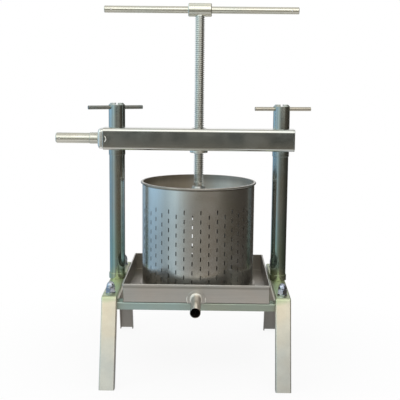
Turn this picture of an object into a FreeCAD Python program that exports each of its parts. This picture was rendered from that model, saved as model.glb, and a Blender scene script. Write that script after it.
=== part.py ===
import FreeCAD, Part
import Sketcher
import math
import os
from FreeCAD import Placement, Rotation, Vector

# Fruit press: two posts on a pair of legged side frames carry a clamped crossbeam, whose
# nut guides a screw that drives a pressing plate down into a perforated basket on a tray.
# X runs across the press, Y from front to back and Z up. The origin is on the floor,
# straight below the screw's axis. All lengths are in millimetres and angles in degrees.

os.makedirs("parts", exist_ok=True)
doc = FreeCAD.newDocument("fruit_press")
sizes = doc.addObject("Spreadsheet::Sheet", "Sizes")

SIZES = (
    # Fits and edges shared by the whole press
    ("running_fit", 0.05, "radial clearance of a rod or stud in its hole"),
    ("seat_gap", 0.3, "room between pieces that move past each other"),
    ("bolt_fit", 0.25, "radial clearance of a bolt in a punched hole"),
    ("edge_bevel", 1, "bevel of turned edges"),
    ("fine_bevel", 0.5, "bevel of rings and collars"),
    ("end_room", 1, "left beyond the end of a bolt or stud in a blind hole"),
    # Side frames: folded channel, open side inwards
    ("post_spacing", 336, "between the axes of the two posts"),
    ("rail_height", 170, "floor to the top of a side rail"),
    ("rail_overhang", 9, "side rail beyond the tray's hem, at each end"),
    ("channel_width", 30, "across the web"),
    ("channel_depth", 15, "web face to flange edge"),
    ("channel_wall", 2, "sheet thickness of the channel"),
    ("leg_splay", 17.6, "angle of each leg from upright, outwards"),
    ("cross_rail_gap", 1.3, "from a leg's flange to the cross rail behind it"),
    # Bolts that hold the cross rails under the side rails
    ("bolt_radius", 5, "shank"),
    ("bolt_flats", 17, "across the flats of head and cap nut"),
    ("bolt_head_height", 6.4, "hexagon head"),
    ("washer_margin", 1.5, "flat washer outside the nut's flats"),
    ("washer_thickness", 2, "flat washer"),
    ("cap_nut_height", 21, "hexagon and dome together"),
    ("cap_nut_hexagon", 10, "height of the hexagon alone"),
    ("cap_nut_depth", 14, "threaded hole from below"),
    ("sleeve_wall", 3, "sleeve round the bolt inside the side rail"),
    # Posts
    ("post_radius", 16, "round bar"),
    ("spigot_radius", 8, "threaded end below the post"),
    ("post_nut_gap", 1, "from the nut's flats to the side rail's flanges"),
    ("foot_ring_wall", 1.4, "ring at the foot of a post"),
    ("foot_ring_height", 12, "ring at the foot of a post"),
    ("beam_height", 440, "floor to the underside of the beam"),
    ("collar_step", 1, "collar that carries the beam, outside the post"),
    ("collar_height", 11, "collar that carries the beam"),
    ("stud_radius", 12, "threaded end above the post"),
    ("stud_bevel", 2, "bevel of the stud's end"),
    # Crossbeam and its grip
    ("beam_side", 45, "square tube"),
    ("beam_wall", 3, "square tube"),
    ("beam_corner", 5.5, "outer corner radius of the tube"),
    ("beam_overhang", 27, "square tube beyond each post's axis"),
    ("bush_wall", 5, "spacer tube round the stud inside the beam"),
    ("end_plate_thickness", 3, "plate that closes the right end"),
    ("end_cap_length", 11.5, "block on the left end"),
    ("end_cap_inset", 2, "block inside the tube's outline"),
    ("end_cap_corner", 6, "rounding of the block's edges"),
    ("end_cap_cone", 3.5, "from the block's flats to its bevel's cone, at the outer end"),
    ("end_tongue_length", 9, "block's tongue inside the tube"),
    ("grip_nut_radius", 11.6, "round nut between block and grip"),
    ("grip_nut_length", 17.5, "round nut between block and grip"),
    ("grip_radius", 10.65, "tube of the grip"),
    ("grip_wall", 2.6, "tube of the grip"),
    ("grip_length", 69.5, "tube of the grip"),
    ("grip_neck_length", 8, "threaded neck inside the tube"),
    ("grip_plug_bevel", 2, "bevelled plug in the grip's end"),
    ("grip_plug_depth", 16, "how far the plug reaches into the grip"),
    ("grip_hole_radius", 2, "cross hole in the plug end"),
    ("grip_rod_radius", 6, "threaded rod from beam to grip"),
    ("grip_rod_gap", 6, "from the rod's end to the plug"),
    # Clamp nuts on top of the posts
    ("clamp_wall", 4.8, "long round nut outside the stud"),
    ("clamp_height", 50, "long round nut"),
    ("clamp_bevel", 4, "bevel round the nut's top"),
    ("clamp_slot_width", 6, "slot across the nut's top"),
    ("clamp_slot_depth", 4, "slot across the nut's top"),
    ("clamp_bar_cover", 1, "metal above the tommy bar"),
    ("clamp_bar_floor", 2, "metal below the tommy bar"),
    ("clamp_bar_radius", 4, "tommy bar"),
    ("clamp_bar_length", 116, "tommy bar"),
    ("clamp_bar_shift", 2.8, "bar's middle outside the nut's axis"),
    ("left_bar_angle", 25, "left bar, turned from the X axis, front end left"),
    ("right_bar_angle", 9, "right bar, turned from the X axis, front end left"),
    ("bar_pin_radius", 1.5, "pin that holds a tommy bar"),
    # Screw, its nut and its T-handle
    ("screw_radius", 10, "outside of the thread"),
    ("screw_nut_wall", 5, "body of the nut outside the screw"),
    ("nut_flange_step", 3.4, "flange of the nut outside its body"),
    ("nut_flange_thickness", 5, "flange of the nut under the beam"),
    ("handle_height", 722, "floor to the axis of the T-handle"),
    ("handle_radius", 7, "T-handle bar"),
    ("handle_length", 391, "T-handle bar"),
    ("handle_shift", 3, "bar's middle to the right of the screw"),
    ("handle_hole_radius", 1.5, "small cross holes near the bar's ends"),
    ("handle_hole_inset", 14, "cross hole from the bar's end"),
    ("handle_pin_radius", 2.5, "pin that holds the bar"),
    ("handle_pin_offset", 15, "pin from the screw's axis"),
    ("hub_wall", 6.5, "sleeve on top of the screw, outside the bar"),
    ("hub_web", 2.5, "metal between the bar and the screw's end"),
    ("hub_length", 47, "sleeve on top of the screw"),
    ("hub_bevel", 1.5, "bevel of the sleeve's ends"),
    # Pressing plate and the boss that the screw turns in
    ("boss_top", 366, "floor to the top of the boss"),
    ("boss_radius", 15, "boss"),
    ("boss_bevel_width", 2.5, "boss's cone, inwards"),
    ("boss_bevel_height", 6, "boss's cone, downwards"),
    ("boss_height", 31, "boss"),
    ("journal_step", 2, "screw's turned end inside the thread's outline"),
    ("journal_floor", 3, "left under the journal inside the boss"),
    ("groove_depth", 2, "groove round the journal"),
    ("groove_width", 7, "groove round the journal"),
    ("groove_above_plate", 12, "middle of the groove above the plate"),
    ("set_screw_play", 1, "from the set screw's side to the groove's side"),
    ("plate_gap", 5, "from the basket's sheet to the pressing plate"),
    ("plate_thickness", 5, "pressing plate"),
    ("gusset_length", 70, "stiffener from boss outwards"),
    ("gusset_height", 17, "stiffener at the boss"),
    ("gusset_tip", 3, "stiffener's height at its outer end"),
    ("gusset_thickness", 5, "stiffener"),
    # Basket
    ("basket_radius", 115.5, "outside of the basket"),
    ("basket_wall", 1.5, "sheet of the basket"),
    ("basket_top", 376, "floor to the basket's rim"),
    ("rim_width", 3.4, "bead round the rim"),
    ("rim_depth", 4, "bead round the rim"),
    ("rim_bevel", 1.2, "bevel of the bead"),
    ("slot_length", 9, "drain slot, upright"),
    ("slot_width", 2, "drain slot"),
    ("slot_pitch", 18.5, "between slots in one column"),
    ("slot_top", 48, "rim to the middle of the first slot"),
    ("slot_margin", 4.5, "basket's lower edge to the last slot, at least"),
    ("column_step", 8.18, "angle between slot columns"),
    ("front_columns", 22, "slot columns in the basket's front sheet"),
    ("front_start", 94.6, "first column of the front sheet, left of the front"),
    ("back_columns", 21, "slot columns in the basket's back sheet"),
    ("back_start", 88.9, "first column of the back sheet, right of the front"),
    ("back_raise", 2.6, "back sheet's slots above the front sheet's"),
    # Tray
    ("tray_gap", 9, "from the tray's hem to the side rails"),
    ("tray_height", 37, "tray"),
    ("tray_wall", 1.5, "sheet of the tray"),
    ("hem_height", 5, "folded hem round the rim"),
    ("hem_thickness", 1.5, "folded hem round the rim"),
    ("spout_radius", 10, "outlet pipe"),
    ("spout_wall", 1, "outlet pipe"),
    ("spout_reach", 96, "outlet pipe in front of the tray"),
    ("spout_dip", 2, "pipe's lowest line under the tray's underside"),
    ("weld_width", 3, "weld round the outlet pipe"),
    ("weld_edge", 0.4, "weld's thin edge on the pipe"),
    ("spout_plate_margin", 8, "plate round the outlet, outside the pipe"),
    ("spout_plate_thickness", 1.2, "plate round the outlet"),
    # Drain plate inside the tray
    ("drain_bar_height", 6, "bars under the drain plate"),
    ("drain_bar_width", 8, "bars under the drain plate"),
    ("drain_bar_spacing", 70, "between the bars"),
    ("drain_bar_inset", 4, "from the drain plate's edge to a bar's end"),
    ("drain_margin", 4.5, "drain plate outside the basket"),
    ("drain_thickness", 2, "drain plate"),
    ("drain_hole_radius", 3, "holes in the drain plate"),
    ("drain_ring_step", 24, "between rings of holes"),
)


def fill_sheet():
    """Write every driving size into the sheet, with its name and its meaning."""
    for row, (alias, number, meaning) in enumerate(SIZES, start=1):
        sizes.set(f"A{row}", meaning)
        sizes.set(f"B{row}", str(number))
        sizes.setAlias(f"B{row}", alias)
    doc.recompute()


fill_sheet()


def size(name):
    """The expression that reads one driving size."""
    return f"Sizes.{name}"


def value(expression):
    """The present value of an expression."""
    found = sizes.evalExpression(expression)
    return float(getattr(found, "Value", found))


# Places worked out from the driving sizes
HALF_SPACING = "(Sizes.post_spacing / 2)"
RAIL_TOP = "Sizes.rail_height"
RAIL_BASE = "(Sizes.rail_height - Sizes.channel_depth)"
WEB_BASE = "(Sizes.rail_height - Sizes.channel_wall)"
MITRE = "tan((90 - Sizes.leg_splay) / 2)"
TRAY_HALF = f"({HALF_SPACING} - Sizes.channel_width / 2 - Sizes.tray_gap)"
HALF_RAIL = f"({TRAY_HALF} + Sizes.rail_overhang)"
CROSS_RAIL_Y = (
    f"({HALF_RAIL} - Sizes.channel_depth * {MITRE} - Sizes.cross_rail_gap - Sizes.channel_width / 2)"
)
BEAM_BASE = "Sizes.beam_height"
BEAM_TOP = "(Sizes.beam_height + Sizes.beam_side)"
BEAM_AXIS = "(Sizes.beam_height + Sizes.beam_side / 2)"
BEAM_END = f"({HALF_SPACING} + Sizes.beam_overhang)"
CAP_END = f"({BEAM_END} + Sizes.end_cap_length)"
NUT_END = f"({CAP_END} + Sizes.grip_nut_length)"
GRIP_END = f"({NUT_END} + Sizes.grip_length)"
CLAMP_TOP = f"({BEAM_TOP} + Sizes.clamp_height)"
SLOT_BASE = f"({CLAMP_TOP} - Sizes.clamp_slot_depth)"
BAR_HOLE = "(Sizes.clamp_bar_radius + Sizes.running_fit)"
BAR_AXIS = f"({SLOT_BASE} - Sizes.clamp_bar_cover - {BAR_HOLE})"
STUD_HOLE_TOP = f"({BAR_AXIS} - {BAR_HOLE} - Sizes.clamp_bar_floor)"
STUD_TOP = f"({STUD_HOLE_TOP} - Sizes.end_room)"
STUD_HOLE = "(Sizes.stud_radius + Sizes.running_fit)"
SCREW_HOLE = "(Sizes.screw_radius + Sizes.running_fit)"
NUT_RADIUS = "(Sizes.screw_radius + Sizes.screw_nut_wall)"
HUB_RADIUS = "(Sizes.handle_radius + Sizes.hub_wall)"
JOURNAL_RADIUS = "(Sizes.screw_radius - Sizes.journal_step)"
GROOVE_RADIUS = f"({JOURNAL_RADIUS} - Sizes.groove_depth)"
SET_SCREW_RADIUS = "(Sizes.groove_width / 2 - Sizes.set_screw_play)"
BOSS_BASE = "(Sizes.boss_top - Sizes.boss_height)"
PLATE_BASE = f"({BOSS_BASE} - Sizes.plate_thickness)"
GROOVE_AXIS = f"({BOSS_BASE} + Sizes.groove_above_plate)"
TRAY_BASE = RAIL_BASE
TRAY_TOP = f"({TRAY_BASE} + Sizes.tray_height)"
TRAY_WALL_HALF = f"({TRAY_HALF} - Sizes.hem_thickness)"
SPOUT_AXIS = f"({TRAY_BASE} + Sizes.spout_radius - Sizes.spout_dip)"
DRAIN_BASE = f"({TRAY_BASE} + Sizes.tray_wall + Sizes.drain_bar_height)"
DRAIN_RADIUS = "(Sizes.basket_radius + Sizes.drain_margin)"
DRAIN_TOP = f"({DRAIN_BASE} + Sizes.drain_thickness)"
BASKET_BASE = f"({DRAIN_TOP} + Sizes.seat_gap)"

# How far a cutting tool reaches past the piece that it cuts
MARGIN = "5"
TO_X = Rotation(Vector(0, 1, 0), 90)
TO_Y = Rotation(Vector(1, 0, 0), -90)
UPRIGHT = Rotation()

pieces = []


def bind(feature, **expressions):
    """Tie properties of a feature to expressions."""
    for name, expression in expressions.items():
        feature.setExpression(name, expression)


def place(feature, x="0", y="0", z="0", rotation=UPRIGHT):
    """Set a feature's rotation and tie its position to expressions."""
    feature.Placement = Placement(Vector(), rotation)
    for axis, expression in (("x", x), ("y", y), ("z", z)):
        if expression != "0":
            feature.setExpression(f"Placement.Base.{axis}", expression)
    return feature


def piece(feature, label):
    """Give a finished sub-part its label and list it."""
    feature.Label = label
    pieces.append(feature)
    return feature


def box(name, x, y, z):
    """A block between two expressions along each axis."""
    block = doc.addObject("Part::Box", name)
    bind(block, Length=f"{x[1]} - ({x[0]})", Width=f"{y[1]} - ({y[0]})", Height=f"{z[1]} - ({z[0]})")
    return place(block, x[0], y[0], z[0])


def rod(name, radius, start, end, x="0", y="0", z="0", rotation=UPRIGHT):
    """A cylinder from start to end along Z, or along X or Y when rotated."""
    cylinder = doc.addObject("Part::Cylinder", name)
    bind(cylinder, Radius=radius, Height=f"{end} - ({start})")
    if rotation is TO_X:
        return place(cylinder, f"{x} + {start}", y, z, rotation)
    if rotation is TO_Y:
        return place(cylinder, x, f"{y} + {start}", z, rotation)
    return place(cylinder, x, y, f"{z} + {start}")


def hexagon(name, flats, start, end, x="0", y="0", turn=0):
    """A hexagonal prism from start to end, with two flats facing left and right."""
    prism = doc.addObject("Part::Prism", name)
    prism.Polygon = 6
    bind(prism, Circumradius=f"{flats} / 2 / cos(30)", Height=f"{end} - ({start})")
    return place(prism, x, y, start, Rotation(Vector(0, 0, 1), 30 + turn))


def fuse(name, *features):
    """One solid from several that touch."""
    joined = doc.addObject("Part::MultiFuse", name)
    joined.Shapes = list(features)
    joined.Refine = True
    return joined


def group(name, *features):
    """Several separate solids in one sub-part."""
    bundle = doc.addObject("Part::Compound", name)
    bundle.Links = list(features)
    return bundle


def cut(name, base, *tools):
    """The base with every tool taken away."""
    result = doc.addObject("Part::Cut", name)
    result.Base = base
    result.Tool = tools[0] if len(tools) == 1 else fuse(name + "_tools", *tools)
    result.Refine = True
    return result


def common(name, base, tool):
    """What the base and the tool share."""
    result = doc.addObject("Part::Common", name)
    result.Base = base
    result.Tool = tool
    result.Refine = True
    return result


def plane_of(body, role):
    """One of a body's own origin planes."""
    return next(feature for feature in body.Origin.OriginFeatures if feature.Role == role)


def outline(body, name, role, points):
    """A closed sketch of straight lines, with each corner tied to two expressions."""
    sketch = body.newObject("Sketcher::SketchObject", name)
    sketch.AttachmentSupport = [(plane_of(body, role), "")]
    sketch.MapMode = "FlatFace"
    corners = [Vector(value(across), value(up), 0) for across, up in points]
    for number, corner in enumerate(corners):
        following = corners[(number + 1) % len(corners)]
        sketch.addGeometry(Part.LineSegment(corner, following))
    for number in range(len(corners)):
        after = (number + 1) % len(corners)
        sketch.addConstraint(Sketcher.Constraint("Coincident", number, 2, after, 1))
    for number, (across, up) in enumerate(points):
        for kind, axis, expression, where in (
            ("DistanceX", -2, across, corners[number].x),
            ("DistanceY", -1, up, corners[number].y),
        ):
            if expression == "0":
                sketch.addConstraint(Sketcher.Constraint("PointOnObject", number, 1, axis))
                continue
            index = sketch.addConstraint(Sketcher.Constraint(kind, -1, 1, number, 1, where))
            sketch.renameConstraint(index, f"{kind}_{number}")
            sketch.setExpression(f"Constraints.{kind}_{number}", expression)
    return sketch


def turned(name, points):
    """A turned solid from its half profile: pairs of radius and height."""
    body = doc.addObject("PartDesign::Body", name)
    sketch = outline(body, name + "_profile", "XZ_Plane", points)
    turn = body.newObject("PartDesign::Revolution", name + "_turn")
    turn.Profile = sketch
    turn.ReferenceAxis = (sketch, ["V_Axis"])
    turn.Angle = 360
    return body


def padded(name, role, points, length):
    """A solid of one outline, extended by half its length to each side of its plane."""
    body = doc.addObject("PartDesign::Body", name)
    sketch = outline(body, name + "_outline", role, points)
    pad = body.newObject("PartDesign::Pad", name + "_pad")
    pad.Profile = sketch
    pad.SideType = "Symmetric"
    bind(pad, Length=length)
    return body


def pocketed(body, name, role, points, length):
    """Take a second outline out of a padded solid, to both sides of its plane."""
    sketch = outline(body, name + "_pocket_outline", role, points)
    pocket = body.newObject("PartDesign::Pocket", name + "_pocket")
    pocket.Profile = sketch
    pocket.SideType = "Symmetric"
    bind(pocket, Length=length)
    return body


def bar_along_x(name, half, side, corner):
    """A square bar along X, with its four long edges rounded."""
    halved = f"({side} / 2)"
    points = ((f"-{halved}", f"-{halved}"), (halved, f"-{halved}"), (halved, halved), (f"-{halved}", halved))
    body = padded(name, "YZ_Plane", points, f"{half} * 2")
    doc.recompute()
    pad = body.Tip
    long_edges = [
        f"Edge{number}"
        for number, edge in enumerate(pad.Shape.Edges, start=1)
        if abs(edge.tangentAt(edge.FirstParameter).x) > 0.5
    ]
    rounding = body.newObject("PartDesign::Fillet", name + "_rounding")
    rounding.Base = (pad, long_edges)
    bind(rounding, Radius=corner)
    return body


def inset(along, depth):
    """Rail outline corner at a depth below the web face, on the mitred end."""
    return f"{along}({HALF_RAIL} - {depth} * {MITRE})"


def build_side_rail(label, x):
    """Channel with its web on top and mitred ends, drilled for post and bolts."""
    top = size("rail_height")
    wall = size("channel_wall")
    depth = size("channel_depth")
    deeper = f"({depth} + {MARGIN})"
    outer = (
        (f"-{HALF_RAIL}", top),
        (HALF_RAIL, top),
        (inset("", depth), RAIL_BASE),
        (inset("-", depth), RAIL_BASE),
    )
    inner = (
        (inset("-", wall), f"{top} - {wall}"),
        (inset("", wall), f"{top} - {wall}"),
        (inset("", deeper), f"{top} - {deeper}"),
        (inset("-", deeper), f"{top} - {deeper}"),
    )
    width = size("channel_width")
    body = padded(label + "_channel", "YZ_Plane", outer, width)
    pocketed(body, label + "_channel", "YZ_Plane", inner, f"{width} - 2 * {wall}")
    spigot_hole = f"{size('spigot_radius')} + {size('running_fit')}"
    bolt_hole = f"{size('bolt_radius')} + {size('bolt_fit')}"
    above = f"{top} + {MARGIN}"
    holes = [rod(label + "_post_hole", spigot_hole, RAIL_BASE, above)]
    for end, sign in (("front", "-"), ("back", "")):
        hole = rod(f"{label}_{end}_hole", bolt_hole, RAIL_BASE, above, y=f"{sign}{CROSS_RAIL_Y}")
        holes.append(hole)
    rail = cut(label, body, *holes)
    place(rail, x=x)
    piece(rail, label)


def build_leg(label, x, turn):
    """Splayed channel leg, mitred against the side rail and cut level at the floor."""
    top = size("rail_height")
    wall = size("channel_wall")
    depth = size("channel_depth")
    deeper = f"({depth} + {MARGIN})"
    splay = size("leg_splay")
    foot = f"(-{HALF_RAIL} - {top} * tan({splay}))"
    outer = (
        (f"-{HALF_RAIL}", top),
        (foot, "0"),
        (f"{foot} + {depth} / cos({splay})", "0"),
        (inset("-", depth), RAIL_BASE),
    )
    inner = (
        (inset("-", wall), f"{top} - {wall}"),
        (f"{foot} + {wall} / cos({splay})", "0"),
        (f"{foot} + {deeper} / cos({splay})", "0"),
        (inset("-", deeper), f"{top} - {deeper}"),
    )
    width = size("channel_width")
    leg = padded(label, "YZ_Plane", outer, width)
    pocketed(leg, label, "YZ_Plane", inner, f"{width} - 2 * {wall}")
    place(leg, x=x, rotation=Rotation(Vector(0, 0, 1), turn))
    piece(leg, label)


def build_cross_rail(label, y):
    """Channel with its web on top, lying under both side rails."""
    half = f"({size('channel_width')} / 2)"
    wall = size("channel_wall")
    base = f"({RAIL_BASE} - {size('channel_depth')})"
    section = (
        (f"-{half}", base),
        (f"-{half}", RAIL_BASE),
        (half, RAIL_BASE),
        (half, base),
        (f"{half} - {wall}", base),
        (f"{half} - {wall}", f"{RAIL_BASE} - {wall}"),
        (f"-{half} + {wall}", f"{RAIL_BASE} - {wall}"),
        (f"-{half} + {wall}", base),
    )
    length = f"{size('post_spacing')} + {size('channel_width')}"
    body = padded(label + "_channel", "YZ_Plane", section, length)
    bolt_hole = f"{size('bolt_radius')} + {size('bolt_fit')}"
    above = f"{RAIL_BASE} + {MARGIN}"
    holes = []
    for side, sign in (("left", "-"), ("right", "")):
        hole = rod(f"{label}_{side}_hole", bolt_hole, base, above, x=f"{sign}{HALF_SPACING}")
        holes.append(hole)
    rail = cut(label, body, *holes)
    place(rail, y=y)
    piece(rail, label)


def build_frame():
    """Side rails, legs and cross rails."""
    build_side_rail("left_side_rail", f"-{HALF_SPACING}")
    build_side_rail("right_side_rail", HALF_SPACING)
    build_leg("front_left_leg", f"-{HALF_SPACING}", 0)
    build_leg("front_right_leg", HALF_SPACING, 0)
    build_leg("back_left_leg", f"-{HALF_SPACING}", 180)
    build_leg("back_right_leg", HALF_SPACING, 180)
    build_cross_rail("front_cross_rail", f"-{CROSS_RAIL_Y}")
    build_cross_rail("back_cross_rail", CROSS_RAIL_Y)


def corners():
    """Name and place of the four bolts that join the cross rails to the side rails."""
    for end, y in (("front", f"-{CROSS_RAIL_Y}"), ("back", CROSS_RAIL_Y)):
        for side, x in (("left", f"-{HALF_SPACING}"), ("right", HALF_SPACING)):
            yield f"{end}_{side}", x, y


def build_rail_fasteners():
    """Bolt from below, sleeve inside the side rail, washer and cap nut on top."""
    web_base = f"({RAIL_BASE} - {size('channel_wall')})"
    washer_top = f"({RAIL_TOP} + {size('washer_thickness')})"
    hexagon_top = f"({washer_top} + {size('cap_nut_hexagon')})"
    nut_top = f"({washer_top} + {size('cap_nut_height')})"
    shank_top = f"({washer_top} + {size('cap_nut_depth')} - {size('end_room')})"
    radius = size("bolt_radius")
    loose = f"{radius} + {size('bolt_fit')}"
    tight = f"{radius} + {size('running_fit')}"
    flats = size("bolt_flats")
    washer_radius = f"{flats} / 2 + {size('washer_margin')}"
    bolts, washers, nuts, sleeves = [], [], [], []
    for name, x, y in corners():
        head = hexagon("bolt_head_" + name, flats, f"{web_base} - {size('bolt_head_height')}", web_base, x, y)
        shank = rod("bolt_shank_" + name, radius, web_base, shank_top, x, y)
        bolts.append(fuse("bolt_" + name, head, shank))
        ring = rod("washer_disc_" + name, washer_radius, RAIL_TOP, washer_top, x, y)
        washer_hole = rod("washer_hole_" + name, loose, RAIL_TOP, washer_top, x, y)
        washers.append(cut("washer_" + name, ring, washer_hole))
        wrench = hexagon("cap_hexagon_" + name, flats, washer_top, hexagon_top, x, y)
        dome_radius = f"{flats} / 2"
        crown = doc.addObject("Part::Sphere", "cap_dome_" + name)
        bind(crown, Radius=dome_radius)
        place(crown, x, y, f"{nut_top} - {dome_radius}")
        neck = rod("cap_neck_" + name, dome_radius, washer_top, f"{nut_top} - {dome_radius}", x, y)
        blind = rod("cap_hole_" + name, tight, washer_top, f"{washer_top} + {size('cap_nut_depth')}", x, y)
        nuts.append(cut("cap_nut_" + name, fuse("cap_body_" + name, wrench, neck, crown), blind))
        tube = rod("sleeve_tube_" + name, f"{radius} + {size('sleeve_wall')}", RAIL_BASE, WEB_BASE, x, y)
        bore = rod("sleeve_bore_" + name, loose, RAIL_BASE, WEB_BASE, x, y)
        sleeves.append(cut("sleeve_" + name, tube, bore))
    piece(group("rail_bolt_group", *bolts), "rail_bolts")
    piece(group("rail_washer_group", *washers), "rail_washers")
    piece(group("rail_cap_nut_group", *nuts), "rail_cap_nuts")
    piece(group("rail_sleeve_group", *sleeves), "rail_sleeves")


def build_post(side, x):
    """Round post with a spigot below and a stud above, its foot ring and beam collar."""
    shoulder = f"({BEAM_BASE} - {size('collar_height')})"
    profile = (
        ("0", RAIL_BASE),
        (size("spigot_radius"), RAIL_BASE),
        (size("spigot_radius"), RAIL_TOP),
        (size("post_radius"), RAIL_TOP),
        (size("post_radius"), shoulder),
        (size("stud_radius"), shoulder),
        (size("stud_radius"), f"{STUD_TOP} - {size('stud_bevel')}"),
        (f"{size('stud_radius')} - {size('stud_bevel')}", STUD_TOP),
        ("0", STUD_TOP),
    )
    piece(place(turned(f"{side}_post", profile), x=x), f"{side}_post")
    ring_top = f"({RAIL_TOP} + {size('foot_ring_height')})"
    ring_bore = f"{size('post_radius')} + {size('running_fit')}"
    ring_radius = f"({size('post_radius')} + {size('foot_ring_wall')})"
    bevel = size("fine_bevel")
    ring = (
        (ring_bore, RAIL_TOP),
        (ring_radius, RAIL_TOP),
        (ring_radius, f"{ring_top} - {bevel}"),
        (f"{ring_radius} - {bevel}", ring_top),
        (ring_bore, ring_top),
    )
    piece(place(turned(f"{side}_foot_ring", ring), x=x), f"{side}_foot_ring")
    collar_radius = f"({size('post_radius')} + {size('collar_step')})"
    collar = (
        (STUD_HOLE, shoulder),
        (f"{collar_radius} - {bevel}", shoulder),
        (collar_radius, f"{shoulder} + {bevel}"),
        (collar_radius, BEAM_BASE),
        (STUD_HOLE, BEAM_BASE),
    )
    piece(place(turned(f"{side}_post_collar", collar), x=x), f"{side}_post_collar")


def build_posts():
    """Both posts and the nuts that hold them inside the side rails."""
    build_post("left", f"-{HALF_SPACING}")
    build_post("right", HALF_SPACING)
    nuts = []
    for side, x in (("left", f"-{HALF_SPACING}"), ("right", HALF_SPACING)):
        flats = f"({size('channel_width')} - 2 * {size('channel_wall')} - 2 * {size('post_nut_gap')})"
        blank = hexagon(f"post_nut_blank_{side}", flats, RAIL_BASE, WEB_BASE, x)
        bore = f"{size('spigot_radius')} + {size('running_fit')}"
        hole = rod(f"post_nut_hole_{side}", bore, RAIL_BASE, WEB_BASE, x)
        nuts.append(cut(f"post_nut_{side}", blank, hole))
    piece(group("post_nut_group", *nuts), "post_nuts")


def build_beam():
    """Square tube with holes for both studs, the screw nut and the grip's rod."""
    outer = bar_along_x("beam_outside", BEAM_END, size("beam_side"), size("beam_corner"))
    place(outer, z=BEAM_AXIS)
    hollow_side = f"({size('beam_side')} - 2 * {size('beam_wall')})"
    hollow_corner = f"({size('beam_corner')} - {size('beam_wall')})"
    inner = bar_along_x("beam_inside", f"({BEAM_END} + {MARGIN})", hollow_side, hollow_corner)
    place(inner, z=BEAM_AXIS)
    low = f"({BEAM_BASE} - {MARGIN})"
    high = f"({BEAM_TOP} + {MARGIN})"
    nut_hole = f"{NUT_RADIUS} + {size('running_fit')}"
    holes = (
        rod("beam_left_hole", STUD_HOLE, low, high, x=f"-{HALF_SPACING}"),
        rod("beam_right_hole", STUD_HOLE, low, high, x=HALF_SPACING),
        rod("beam_screw_hole", nut_hole, low, high),
    )
    piece(cut("cross_beam", cut("beam_tube", outer, inner), *holes), "cross_beam")
    wall = size("beam_wall")
    bush_radius = f"{size('stud_radius')} + {size('bush_wall')}"
    for side, x in (("left", f"-{HALF_SPACING}"), ("right", HALF_SPACING)):
        tube = (
            (STUD_HOLE, f"{BEAM_BASE} + {wall}"),
            (bush_radius, f"{BEAM_BASE} + {wall}"),
            (bush_radius, f"{BEAM_TOP} - {wall}"),
            (STUD_HOLE, f"{BEAM_TOP} - {wall}"),
        )
        piece(place(turned(f"{side}_beam_bush", tube), x=x), f"{side}_beam_bush")
    half_plate = f"({size('end_plate_thickness')} / 2)"
    plate = bar_along_x("beam_end_plate", half_plate, hollow_side, hollow_corner)
    place(plate, x=f"{BEAM_END} - {half_plate}", z=BEAM_AXIS)
    piece(plate, "beam_end_plate")


def grip_cross_hole(name):
    """The small hole through the grip's end, from front to back."""
    reach = f"{size('grip_radius')} + {MARGIN}"
    middle = f"-{GRIP_END} + {size('grip_plug_depth')} / 2"
    return rod(name, size("grip_hole_radius"), f"-({reach})", reach, x=middle, z=BEAM_AXIS, rotation=TO_Y)


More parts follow.
